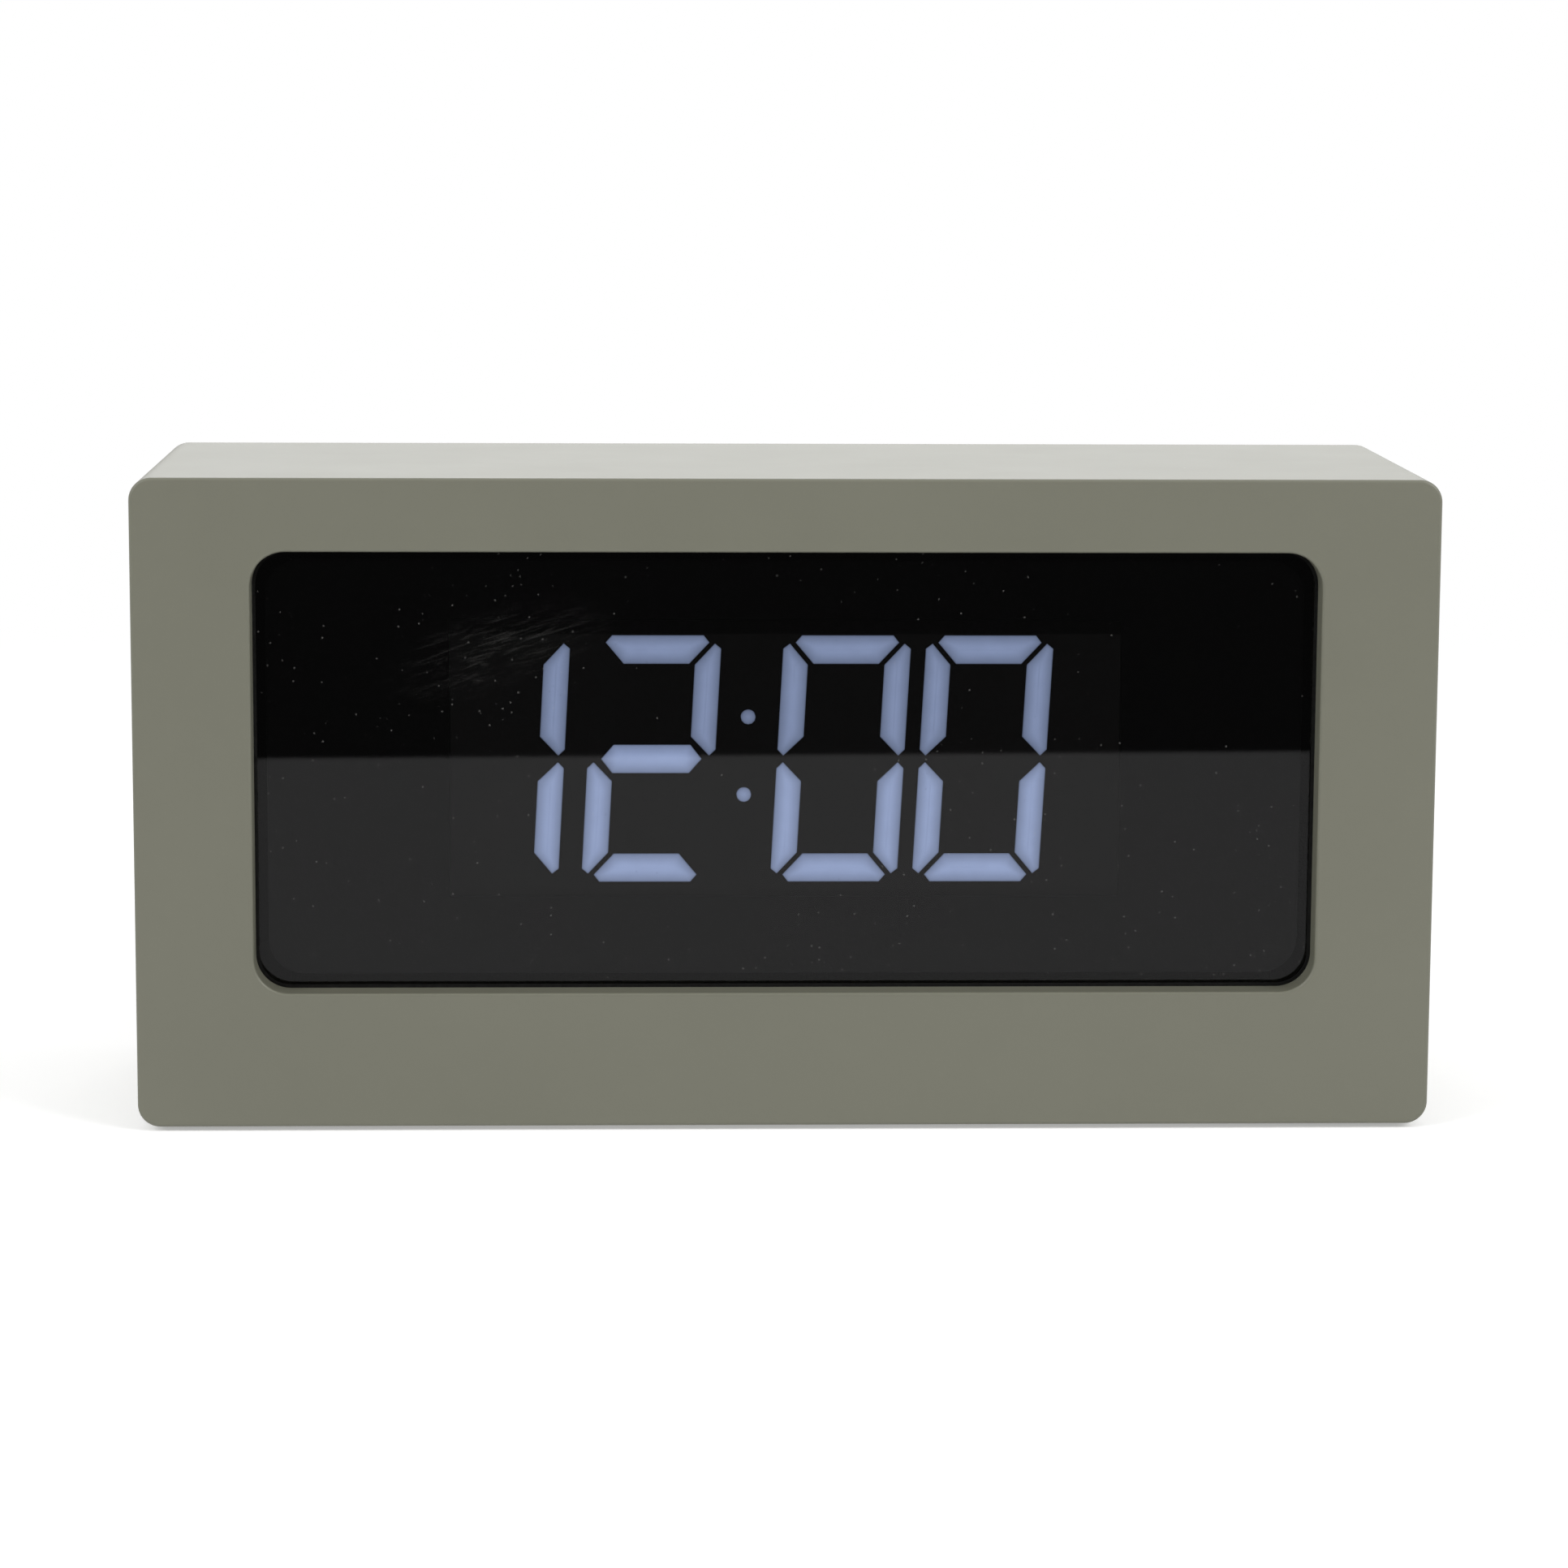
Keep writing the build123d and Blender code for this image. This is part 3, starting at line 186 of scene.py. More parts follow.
# moulded or drawn finish: colour that drifts a little, roughness that varies and a fine grain as bump
def plainFinish(name, look):
    material, tree, output = emptyMaterial(name)
    shader = nodeIn(tree, "ShaderNodeBsdfPrincipled")
    setInputs(shader, {"Metallic": look.get("metal", 0.0), "Specular IOR Level": look.get("specular", 0.5)})
    place = nodeIn(tree, "ShaderNodeTexCoord").outputs["Object"]
    drift = noiseRange(tree, place, look["mottleScale"], octaves["mottle"],
                       1 - look["mottle"], 1 + look["mottle"])
    tint = nodeIn(tree, "ShaderNodeVectorMath", operation="SCALE")
    tint.inputs[0].default_value = look["colour"]
    tree.links.new(drift, tint.inputs["Scale"])
    colour = tint.outputs["Vector"]
    if "dust" in look:
        grains = specks(tree, place, paintDust["scale"], paintDust["size"], look["dust"])
        mixed = nodeIn(tree, "ShaderNodeMix", data_type="RGBA")
        mixed.inputs["B"].default_value = paintDust["colour"]
        tree.links.new(grains, mixed.inputs["Factor"])
        tree.links.new(colour, mixed.inputs["A"])
        colour = mixed.outputs["Result"]
    if "leak" in look:   # light that leaks through from the lit segments, between two heights
        height = nodeIn(tree, "ShaderNodeSeparateXYZ")
        between = nodeIn(tree, "ShaderNodeMath", operation="COMPARE")
        strength = nodeIn(tree, "ShaderNodeMath", operation="MULTIPLY")
        setInputs(between, {1: look["leakMiddle"] * mm, 2: look["leakReach"] * mm})
        setInputs(strength, {1: look["leak"]})
        tree.links.new(place, height.inputs["Vector"])
        tree.links.new(height.outputs["Z"], between.inputs[0])
        tree.links.new(between.outputs["Value"], strength.inputs[0])
        tree.links.new(strength.outputs["Value"], shader.inputs["Emission Strength"])
        setInputs(shader, {"Emission Color": look["leakColour"]})
    tree.links.new(colour, shader.inputs["Base Color"])
    rough = noiseRange(tree, place, look["mottleScale"] * octaves["polishScale"], octaves["polish"],
                       look["roughness"] - look["spread"], look["roughness"] + look["spread"])
    tree.links.new(rough, shader.inputs["Roughness"])
    grain = nodeIn(tree, "ShaderNodeTexNoise", Scale=look["grainScale"], Detail=octaves["grain"])
    bump = nodeIn(tree, "ShaderNodeBump", Distance=look["grain"] * mm)
    tree.links.new(place, grain.inputs["Vector"])
    tree.links.new(grain.outputs["Fac"], bump.inputs["Height"])
    tree.links.new(bump.outputs["Normal"], shader.inputs["Normal"])
    tree.links.new(shader.outputs["BSDF"], output.inputs["Surface"])
    return material


materials = {name: plainFinish(name, look) for name, look in finishes.items()}

lensLook = {"tint": (0.22, 0.22, 0.225), "ior": 1.32, "roughness": 0.005, "speckScale": 700, "speckSize": 0.12,
            "speckShare": 0.55, "speckCover": 0.12, "smudgePlace": (-38.3, -24.0, 64.0),
            "smudgeSize": (17.0, 10.0, 6.0), "smudgeTurn": -18, "smudgeCover": 0.045,
            "strokeSize": (6.0, 6.0, 0.5), "strokeWindow": (0.50, 0.70), "strokeTwist": 1.2,
            "strokeDetail": 5, "dustColour": (0.55, 0.54, 0.52, 1)}


# smoked acrylic: clear tinted body with a polished face, a few grains of dust and one faint wipe mark
def smokedAcrylic(look):
    material, tree, output = emptyMaterial("smoked_acrylic")
    body = nodeIn(tree, "ShaderNodeBsdfPrincipled")
    setInputs(body, {"Base Color": (*look["tint"], 1), "Transmission Weight": 1.0, "IOR": look["ior"],
                     "Roughness": look["roughness"]})
    place = nodeIn(tree, "ShaderNodeTexCoord").outputs["Object"]
    dust = nodeIn(tree, "ShaderNodeBsdfDiffuse", Color=look["dustColour"])
    grains = specks(tree, place, look["speckScale"], look["speckSize"], look["speckShare"])
    tilt = (0, math.radians(look["smudgeTurn"]), 0)
    centred = nodeIn(tree, "ShaderNodeMapping", vector_type="TEXTURE")
    setInputs(centred, {"Location": [value * mm for value in look["smudgePlace"]], "Rotation": tilt,
                        "Scale": [value * mm for value in look["smudgeSize"]]})
    fade = nodeIn(tree, "ShaderNodeTexGradient", gradient_type="SPHERICAL")
    streaks = nodeIn(tree, "ShaderNodeMapping", vector_type="TEXTURE")
    setInputs(streaks, {"Rotation": tilt, "Scale": [value * mm for value in look["strokeSize"]]})
    wisps = noiseRange(tree, streaks.outputs["Vector"], 1.0, look["strokeDetail"], 0.0, look["smudgeCover"],
                       look["strokeWindow"], look["strokeTwist"])
    smudge = nodeIn(tree, "ShaderNodeMath", operation="MULTIPLY")
    cover = nodeIn(tree, "ShaderNodeMath", operation="MULTIPLY_ADD", use_clamp=True)
    cover.inputs[1].default_value = look["speckCover"]
    mixed = nodeIn(tree, "ShaderNodeMixShader")
    tree.links.new(place, centred.inputs["Vector"])
    tree.links.new(centred.outputs["Vector"], fade.inputs["Vector"])
    tree.links.new(place, streaks.inputs["Vector"])
    tree.links.new(fade.outputs["Fac"], smudge.inputs[0])
    tree.links.new(wisps, smudge.inputs[1])
    tree.links.new(grains, cover.inputs[0])
    tree.links.new(smudge.outputs["Value"], cover.inputs[2])
    tree.links.new(cover.outputs["Value"], mixed.inputs["Fac"])
    tree.links.new(body.outputs["BSDF"], mixed.inputs[1])
    tree.links.new(dust.outputs["BSDF"], mixed.inputs[2])
    tree.links.new(mixed.outputs["Shader"], output.inputs["Surface"])
    return material


glowLook = {"colour": (1.26, 1.58, 2.45), "spine": 1.65, "resin": (0.30, 0.32, 0.38),
            "rise": ((0.0, 0.37), (0.2, 0.62), (0.4, 0.68), (0.6, 0.74), (0.8, 0.80), (1.0, 0.86),
                     (1.3, 0.94), (1.65, 1.0)),
            "cloudScale": 420, "cloudDetail": 2, "cloud": (0.97, 1.03), "roughness": 0.4}


# cast resin lit from behind: glow rises from the edge to the spine, times the segment's own strength
def litResin(look):
    material, tree, output = emptyMaterial("lit_segment")
    shader = nodeIn(tree, "ShaderNodeBsdfPrincipled", Roughness=look["roughness"])
    distance = nodeIn(tree, "ShaderNodeAttribute", attribute_name="edgeDistance")
    share = nodeIn(tree, "ShaderNodeAttribute", attribute_name="glow")
    curve = nodeIn(tree, "ShaderNodeValToRGB")
    curve.color_ramp.interpolation = "LINEAR"
    while len(curve.color_ramp.elements) < len(look["rise"]):
        curve.color_ramp.elements.new(0.5)
    for element, (inside, value) in zip(curve.color_ramp.elements, look["rise"]):
        element.position = inside / look["spine"]
        element.color = (value, value, value, 1)
    ranged = nodeIn(tree, "ShaderNodeMapRange", clamp=True)
    ranged.inputs["From Max"].default_value = look["spine"]
    strength = nodeIn(tree, "ShaderNodeMath", operation="MULTIPLY")
    place = nodeIn(tree, "ShaderNodeTexCoord").outputs["Object"]
    cloud = noiseRange(tree, place, look["cloudScale"], look["cloudDetail"], *look["cloud"])
    clouded = nodeIn(tree, "ShaderNodeMath", operation="MULTIPLY")
    setInputs(shader, {"Base Color": (*look["resin"], 1), "Emission Color": (*look["colour"], 1)})
    tree.links.new(distance.outputs["Fac"], ranged.inputs["Value"])
    tree.links.new(ranged.outputs["Result"], curve.inputs["Fac"])
    tree.links.new(curve.outputs["Color"], strength.inputs[0])
    tree.links.new(share.outputs["Fac"], strength.inputs[1])
    tree.links.new(strength.outputs["Value"], clouded.inputs[0])
    tree.links.new(cloud, clouded.inputs[1])
    tree.links.new(clouded.outputs["Value"], shader.inputs["Emission Strength"])
    tree.links.new(shader.outputs["BSDF"], output.inputs["Surface"])
    return material


materials["smoked_acrylic"] = smokedAcrylic(lensLook)
materials["lit_segment"] = litResin(glowLook)

# the display's own face: darker than the unlit segments but with their painted glow of leaked light, which
# makes it stand out a little from the frame round it
faceLook = dict(finishes["dark_segment"], colour=(0.005, 0.005, 0.005))
materials["display_face"] = plainFinish("display_face", faceLook)

jacket = {"plusEnd": 47.3, "pitch": 44.6, "rowMiddle": 21.65, "band": 0.30, "bandColour": (0.40, 0.41, 0.40)}


# a pale band over each cell's plus end: the share of a cell's length from that end is the fraction of
# (end place + x) / pitch in the upper row and (end place - x) / pitch in the lower one
def bandJackets(material, j):
    tree = material.node_tree
    shader = next(node for node in tree.nodes if node.type == "BSDF_PRINCIPLED")
    split = nodeIn(tree, "ShaderNodeSeparateXYZ")
    upper = nodeIn(tree, "ShaderNodeMath", operation="GREATER_THAN")
    side = nodeIn(tree, "ShaderNodeMath", operation="MULTIPLY_ADD")
    along = nodeIn(tree, "ShaderNodeMath", operation="MULTIPLY_ADD")
    cells = nodeIn(tree, "ShaderNodeMath", operation="DIVIDE")
    share = nodeIn(tree, "ShaderNodeMath", operation="FRACT")
    inBand = nodeIn(tree, "ShaderNodeMath", operation="LESS_THAN")
    banded = nodeIn(tree, "ShaderNodeMix", data_type="RGBA")
    setInputs(upper, {1: j["rowMiddle"] * mm})
    setInputs(side, {1: 2.0, 2: -1.0})   # 0 or 1 becomes -1 or 1
    setInputs(along, {2: j["plusEnd"] * mm})
    setInputs(cells, {1: j["pitch"] * mm})
    setInputs(inBand, {1: j["band"]})
    setInputs(banded, {"B": (*j["bandColour"], 1)})
    links = tree.links
    links.new(nodeIn(tree, "ShaderNodeTexCoord").outputs["Object"], split.inputs["Vector"])
    links.new(split.outputs["Z"], upper.inputs[0])
    links.new(upper.outputs["Value"], side.inputs[0])
    links.new(side.outputs["Value"], along.inputs[0])
    links.new(split.outputs["X"], along.inputs[1])
    links.new(along.outputs["Value"], cells.inputs[0])
    links.new(cells.outputs["Value"], share.inputs[0])
    links.new(share.outputs["Value"], inBand.inputs[0])
    links.new(inBand.outputs["Value"], banded.inputs["Factor"])
    links.new(shader.inputs["Base Color"].links[0].from_socket, banded.inputs["A"])
    links.new(banded.outputs["Result"], shader.inputs["Base Color"])


bandJackets(materials["cell_jacket"], jacket)

for entry in frame["record"]["subparts"]:
    shape = nodes[entry["node"]].data
    shape.materials.clear()
    shape.materials.append(materials[entry["material_slot"]])
nodes["segment_mask"].data.materials[0] = materials["display_face"]
print("clock: finishes made,", len(materials))


# making meshes

# volume by the divergence theorem; a negative one means that the faces point inwards
def outwards(points, faces):
    volume = 0.0
    for size in {len(face) for face in faces}:
        block = points[np.array([face for face in faces if len(face) == size])]
        for i in range(1, size - 1):
            volume += np.einsum("ij,ij->i", block[:, 0], np.cross(block[:, i], block[:, i + 1])).sum()
    return faces if volume > 0 else [face[::-1] for face in faces]


# a closed mesh from points in millimetres, its doubles merged and its faces turned outwards
def closedMesh(name, points, faces):
    points = np.asarray(points, float).reshape(-1, 3)
    mesh = bpy.data.meshes.new(name)
    mesh.from_pydata((points * mm).tolist(), [], outwards(points, [list(face) for face in faces]))
    shape = bmesh.new()
    shape.from_mesh(mesh)
    bmesh.ops.remove_doubles(shape, verts=shape.verts, dist=weldReach)
    shape.to_mesh(mesh)
    shape.free()
    return mesh


# an object for a mesh, in the scene
def placed(name, mesh):
    piece = bpy.data.objects.new(name, mesh)
    bpy.context.scene.collection.objects.link(piece)
    return piece


# a closed piece that rides on a body and has a slot of the part
def newPiece(name, points, faces, slotName, body="clock_body", sharp=sharpTurn, material=None):
    mesh = closedMesh(name, points, faces)
    mesh.shade_smooth()
    mesh.set_sharp_from_angle(angle=math.radians(sharp))
    mesh.materials.append(materials[material or slotName])
    piece = placed(name, mesh)
    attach(piece, body)
    return piece


# faces between neighbouring rows and columns of a grid of points, joined round where it wraps
def gridFaces(rows, columns, wrapRows=True, wrapColumns=True, first=0):
    i, j = np.meshgrid(np.arange(rows if wrapRows else rows - 1),
                       np.arange(columns if wrapColumns else columns - 1), indexing="ij")
    k, m = (i + 1) % rows, (j + 1) % columns
    faces = np.stack([i * columns + j, i * columns + m, k * columns + m, k * columns + j], -1)
    return (faces.reshape(-1, 4) + first).tolist()


# rounded rectangle: four quarter circles joined by straight sides, with a point just past each end
# of a curve so that the straight sides shade flat
def roundedRing(width, height, radius, middleZ, steps, support=0.35):
    quarter = np.arange(4)[:, None] * math.pi / 2
    angle = quarter + np.linspace(0, math.pi / 2, steps + 1)[None, :]
    side = np.sign(np.cos(quarter + math.pi / 4)), np.sign(np.sin(quarter + math.pi / 4))
    x = side[0] * (width / 2 - radius) + radius * np.cos(angle)
    z = side[1] * (height / 2 - radius) + radius * np.sin(angle)
    ahead = np.stack([-np.sin(angle), np.cos(angle)], -1) * support
    loop = np.stack([x, z], -1)
    loop = np.concatenate([loop[:, :1] - ahead[:, :1], loop, loop[:, -1:] + ahead[:, -1:]], 1)
    return loop.reshape(-1, 2) + [0, middleZ]


# a corner of an outline in (outwards, depth), rounded by an arc with a point just past each end
def roundedCorner(before, corner, after, radius, steps=6, support=0.12):
    before, corner, after = (np.array(p, float) for p in (before, corner, after))
    come = (corner - before) / np.linalg.norm(corner - before)
    leave = (after - corner) / np.linalg.norm(after - corner)
    if radius == 0:
        return corner[None]
    centre = corner - radius * come + radius * leave
    turn = np.linspace(0, math.pi / 2, steps + 1)[:, None]
    arc = centre - radius * np.cos(turn) * leave + radius * np.sin(turn) * come
    return np.concatenate([[arc[0] - support * come], arc, [arc[-1] + support * leave]])


# housing: sizes in millimetres, depths behind the front face
housing = {"width": 172.0, "height": 86.4, "radius": 3.0, "middleZ": 43.8, "windowWidth": 140.8,
           "windowHeight": 58.7, "windowRadius": 4.6, "edge": 0.45, "windowEdge": 0.40, "depth": 57.0,
           "wall": 2.5, "front": 2.8, "collar": 4.2, "collarBack": 6.5, "lip": 1.3, "rebate": 52.5,
           "lipEdge": 0.15, "seat": 1.8, "collarWall": 3.0, "leastRadius": 0.5, "cornerSteps": 12,
           "footRadius": 4.7, "footDepth": 1.0, "foot": (72.0, 19.0), "under": 0.6, "cutBelow": 1.0}


# the housing's section, an outline of (outwards, depth), carried round the outer rectangle for its
# outer part and round the window's rectangle for its inner part
def makeHousing(h):
    gap = (h["width"] - h["windowWidth"]) / 2
    seat, outside = h["seat"] - gap, h["collarWall"] - gap
    outline = [(0, 0, h["edge"]), (-gap, 0, h["windowEdge"]), (-gap, h["collar"], 0),
               (seat, h["collar"], 0), (seat, h["collarBack"], 0), (outside, h["collarBack"], 0),
               (outside, h["front"], 0), (-h["wall"], h["front"], 0), (-h["wall"], h["rebate"], 0),
               (-h["lip"], h["rebate"], 0), (-h["lip"], h["depth"], h["lipEdge"]), (0, h["depth"], h["edge"])]
    places = [corner[:2] for corner in outline]
    stations = np.concatenate([
        roundedCorner(places[i - 1], places[i], places[(i + 1) % len(places)], outline[i][2])
        for i in range(len(outline))])
    rings = []
    for outward, depth in stations:
        if outward < -gap / 2:   # nearer to the window than to the outside
            grow = outward + gap
            loop = roundedRing(h["windowWidth"] + 2 * grow, h["windowHeight"] + 2 * grow,
                               h["windowRadius"] + grow, windowZ, h["cornerSteps"])
        else:
            loop = roundedRing(h["width"] + 2 * outward, h["height"] + 2 * outward,
                               max(h["radius"] + outward, h["leastRadius"]), h["middleZ"], h["cornerSteps"])
        rings.append(np.insert(loop, 1, frontY + depth, axis=1))
    rings = np.array(rings)
    return newPiece("housing_shell", rings, gridFaces(*rings.shape[:2]), "housing_paint")


# a ring or disc turned about an axis: (radius, along) carried round in equal steps at each place
def turned(profile, places, axis="y", steps=56, closed=False):
    profile = np.asarray(profile, float)
    angle = np.linspace(0, 2 * math.pi, steps, endpoint=False)
    across, up = profile[:, :1] * np.cos(angle), profile[:, :1] * np.sin(angle)
    along = np.repeat(profile[:, 1:], steps, axis=1)
    order = {"y": (across, along, up), "z": (across, up, along)}[axis]
    grid = np.stack(order, -1)
    points = np.concatenate([(grid + np.array(place)).reshape(-1, 3) for place in places])
    faces = []
    for i in range(len(places)):
        faces += gridFaces(len(profile), steps, closed, True, i * grid.shape[0] * steps)
    return points, faces


# cuts a closed shape out of a piece, which keeps the mesh that is left
def cutOut(piece, points, faces):
    cutter = placed("cutter", closedMesh("cutter", points, faces))
    modifier = piece.modifiers.new("cut", "BOOLEAN")
    modifier.object = cutter
    modifier.operation = "DIFFERENCE"
    modifier.solver = "EXACT"
    bpy.context.view_layer.update()
    result = bpy.data.meshes.new_from_object(piece.evaluated_get(bpy.context.evaluated_depsgraph_get()))
    piece.modifiers.clear()
    piece.data = result
    bpy.data.objects.remove(cutter)
    result.shade_smooth()
    result.set_sharp_from_angle(angle=math.radians(sharpTurn))


shell = makeHousing(housing)
footPlaces = [(sx * housing["foot"][0], sy * housing["foot"][1], housing["under"])
              for sx in (-1, 1) for sy in (-1, 1)]
pocket = [(0, -housing["cutBelow"]), (housing["footRadius"], -housing["cutBelow"]),
          (housing["footRadius"], housing["footDepth"]), (0, housing["footDepth"])]
cutOut(shell, *turned(pocket, footPlaces, axis="z"))
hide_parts("housing")

posts = {"radius": 3.5, "bore": 1.45, "boreDepth": 14.0, "x": 80.5, "z": 37.7}
postPlaces = [(sx * posts["x"], frontY, housing["middleZ"] + sz * posts["z"])
              for sx in (-1, 1) for sz in (-1, 1)]
postEnd = housing["rebate"]
postProfile = [(0, housing["front"]), (posts["radius"], housing["front"]), (posts["radius"], postEnd),
               (posts["bore"], postEnd), (posts["bore"], postEnd - posts["boreDepth"]),
               (0, postEnd - posts["boreDepth"])]
newPiece("screw_posts", *turned(postProfile, postPlaces, steps=32), "housing_paint")
print("clock: housing made")

# lit segments
display = {"x": {"hourTens": -37.91, "hourUnits": -17.87, "minuteTens": 7.32, "minuteUnits": 26.28},
           "z": 49.08, "halfWidth": 8.465, "halfHeight": 16.55, "sideBar": 3.36, "flatBar": 3.78, "gap": 0.68,
           "middleGap": 0.92, "miterShift": 0.32, "tipCut": 1.62, "miterCut": 1.27, "apex": 0.81,
           "barInset": 1.81, "barPoint": 1.56, "slant": 3.0, "front": 6.9, "depth": 6.0, "proud": 0.03,
           "spread": 0.01, "fit": 0.02, "upper": 0.78, "dotRadius": 0.97, "dotSpacing": 10.44, "dotLift": 0.41,
           "dotGlow": (0.72, 0.97), "dotSides": 12, "dotSpine": 0.01, "seatGap": 0.004, "flatEnd": 2.9,
           "sideEnd": 2.6, "inmost": 0.94, "crowding": 1.25, "leastRun": 1e-9}
lit = {"hourTens": "bc", "hourUnits": "abged", "minuteTens": "abcdef", "minuteUnits": "abcdef"}
litNodes = {"hourTens": "hour_tens_lit_segments", "hourUnits": "hour_units_lit_segments",
            "minuteTens": "minute_tens_lit_segments", "minuteUnits": "minute_units_lit_segments"}


# corners of each segment of an upright digit about its middle, as the part has them
def segmentCorners(d):
    long = math.hypot(d["sideBar"], d["flatBar"])
    mu, mv = d["sideBar"] / long, d["flatBar"] / long
    tipU = d["halfWidth"] - d["gap"] / 2 / mv - d["miterShift"]
    tipV = d["halfHeight"] - d["gap"] / 2 / mu + d["miterShift"] * d["flatBar"] / d["sideBar"]
    top = d["halfHeight"]
    right = d["halfWidth"]
    flat = np.array([(tipU - d["tipCut"], top), (tipU - d["miterCut"] * mu, top - d["miterCut"] * mv),
                     (tipU - d["sideBar"], top - d["flatBar"])])
    flat = np.concatenate([flat, flat[::-1] * (-1, 1)])
    low = d["middleGap"] / 2
    side = np.array([(right, tipV - d["tipCut"]), (right - d["miterCut"] * mu, tipV - d["miterCut"] * mv),
                     (right - d["sideBar"], tipV - d["flatBar"]),
                     (right - d["sideBar"], low + d["sideBar"] - d["apex"]), (right - d["apex"], low),
                     (right, low + d["apex"])])
    tip = right - d["barInset"]
    bar = np.array([(tip - d["barPoint"], d["flatBar"] / 2), (tip, 0),
                    (tip - d["barPoint"], -d["flatBar"] / 2)])
    bar = np.concatenate([bar, bar[::-1] * (-1, 1)])
    return {"a": flat, "b": side, "c": side * (1, -1), "d": flat * (1, -1), "e": side * (-1, -1),
            "f": side * (-1, 1), "g": bar}


# distance from points to the nearest side of a convex outline, positive inside
def edgeDistance(points, corners):
    turn = np.cross(corners[1] - corners[0], corners[2] - corners[1])
    loop = corners if turn > 0 else corners[::-1]
    along = np.roll(loop, -1, axis=0) - loop
    normal = np.stack([-along[:, 1], along[:, 0]], -1) / np.linalg.norm(along, axis=1)[:, None]
    return ((points[:, None, :] - loop[None]) * normal[None]).sum(-1).min(1)


# outline moved outwards by a distance: each corner goes along its two sides' shared normal
def grown(corners, amount):
    turn = np.cross(corners[1] - corners[0], corners[2] - corners[1])
    along = np.roll(corners, -1, axis=0) - corners
    normal = np.stack([along[:, 1], -along[:, 0]], -1) / np.linalg.norm(along, axis=1)[:, None]
    normal = normal if turn > 0 else -normal
    before = np.roll(normal, 1, axis=0)
    bisector = (normal + before) / (1 + (normal * before).sum(-1))[:, None]
    return corners + amount * bisector


# points spread evenly along each side of an outline
def refined(corners, perSide):
    share = np.linspace(0, 1, perSide, endpoint=False)[None, :, None]
    return (corners[:, None] * (1 - share) + np.roll(corners, -1, axis=0)[:, None] * share).reshape(-1, 2)


# one lit cell: rings that shrink from the outline to a line along its middle make its glowing face,
# and a wall runs back from the outline into the reflector
def litCell(corners, spine, d, glow, perSide=8, rings=10):
    outer = refined(grown(corners, d["spread"]), perSide)
    fitted = refined(grown(corners, -d["fit"]), perSide)
    start, end = spine
    run = end - start
    share = np.clip(((outer - start) @ run) / max(run @ run, d["leastRun"]), 0, 1)[:, None]
    target = start + share * run
    steps = np.linspace(0, d["inmost"], rings)[:, None, None] ** d["crowding"]
    face = outer[None] * (1 - steps) + target[None] * steps
    front, back = d["front"] - d["proud"], d["front"] + d["depth"]
    seat = d["front"] - d["seatGap"]
    layers = [(fitted, back), (fitted, seat), (outer, seat)]
    layers += [(ring, front) for ring in face]
    points = np.array([np.insert(ring, 1, frontY + depth, axis=1) for ring, depth in layers])
    distance = np.concatenate([edgeDistance(ring, corners) for ring, _ in layers])
    count = points.shape[1]
    faces = gridFaces(len(layers), count, False, True)
    faces += [list(range(count)), list(range((len(layers) - 1) * count, len(layers) * count))[::-1]]
    return points.reshape(-1, 3), faces, distance, np.full(len(distance), glow)


# joins cells into one piece and writes their edge distances and strengths as attributes
def litPiece(name, cells, node):
    points = np.concatenate([cell[0] for cell in cells])
    faces, first = [], 0
    for cell in cells:
        ordered = outwards(cell[0], cell[1])
        faces += [[i + first for i in face] for face in ordered]
        first += len(cell[0])
    mesh = bpy.data.meshes.new(name)
    mesh.from_pydata((points * mm).tolist(), [], faces)
    for label, column in (("edgeDistance", 2), ("glow", 3)):
        values = np.concatenate([cell[column] for cell in cells]).astype(np.float32)
        mesh.attributes.new(label, "FLOAT", "POINT").data.foreach_set("value", values)
    mesh.materials.append(materials["lit_segment"])
    piece = placed(name, mesh)
    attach(piece, "clock_body")
    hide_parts(node)


# every outline leans with the display, and its middle line runs between its two far ends
def placedSegment(letter, corners, digitX, d):
    lean = math.tan(math.radians(d["slant"]))
    flat = letter in "adg"
    long = np.ptp(corners[:, 0 if flat else 1])
    middle = (corners.max(0) + corners.min(0)) / 2
    reach = long / 2 - (d["flatEnd"] if flat else d["sideEnd"])
    ends = middle + np.array([(-reach, 0), (reach, 0)] if flat else [(0, -reach), (0, reach)])

    def stand(points):
        return np.stack([digitX + points[:, 0] + points[:, 1] * lean, d["z"] + points[:, 1]], -1)

    return litCell(stand(corners), stand(ends), d, d["upper"] if letter in "abf" else 1.0)


corners = segmentCorners(display)
for digit, letters in lit.items():
    cells = [placedSegment(letter, corners[letter], display["x"][digit], display) for letter in letters]
    litPiece(digit + "Glow", cells, litNodes[digit])

colonX = (display["x"]["hourUnits"] + display["x"]["minuteTens"]) / 2
dots = []
for side, glow in zip((1, -1), display["dotGlow"]):
    angle = np.linspace(0, 2 * math.pi, display["dotSides"], endpoint=False)
    circle = display["dotRadius"] * np.stack([np.cos(angle), np.sin(angle)], -1)
    rise = side * display["dotSpacing"] / 2
    middle = np.array([colonX + rise * math.tan(math.radians(display["slant"])),
                       display["z"] + display["dotLift"] + rise])
    spine = np.array([middle, middle + (display["dotSpine"], 0)])
    dots.append(litCell(circle + middle, spine, display, glow, perSide=3))
litPiece("colonGlow", dots, "colon_dots")
print("clock: segments made")

# rear pieces with softened edges
softEdges = {"rear_cover": 0.22, "battery_door": 0.19, "rear_cover_screws": 0.16, "slide_switch_knob": 0.14,
             "power_socket_shell": 0.07, "power_socket_tongue": 0.06}
softening = {"weld": 2e-6, "flatTurn": 0.4, "edgeTurn": 42, "segments": 3}


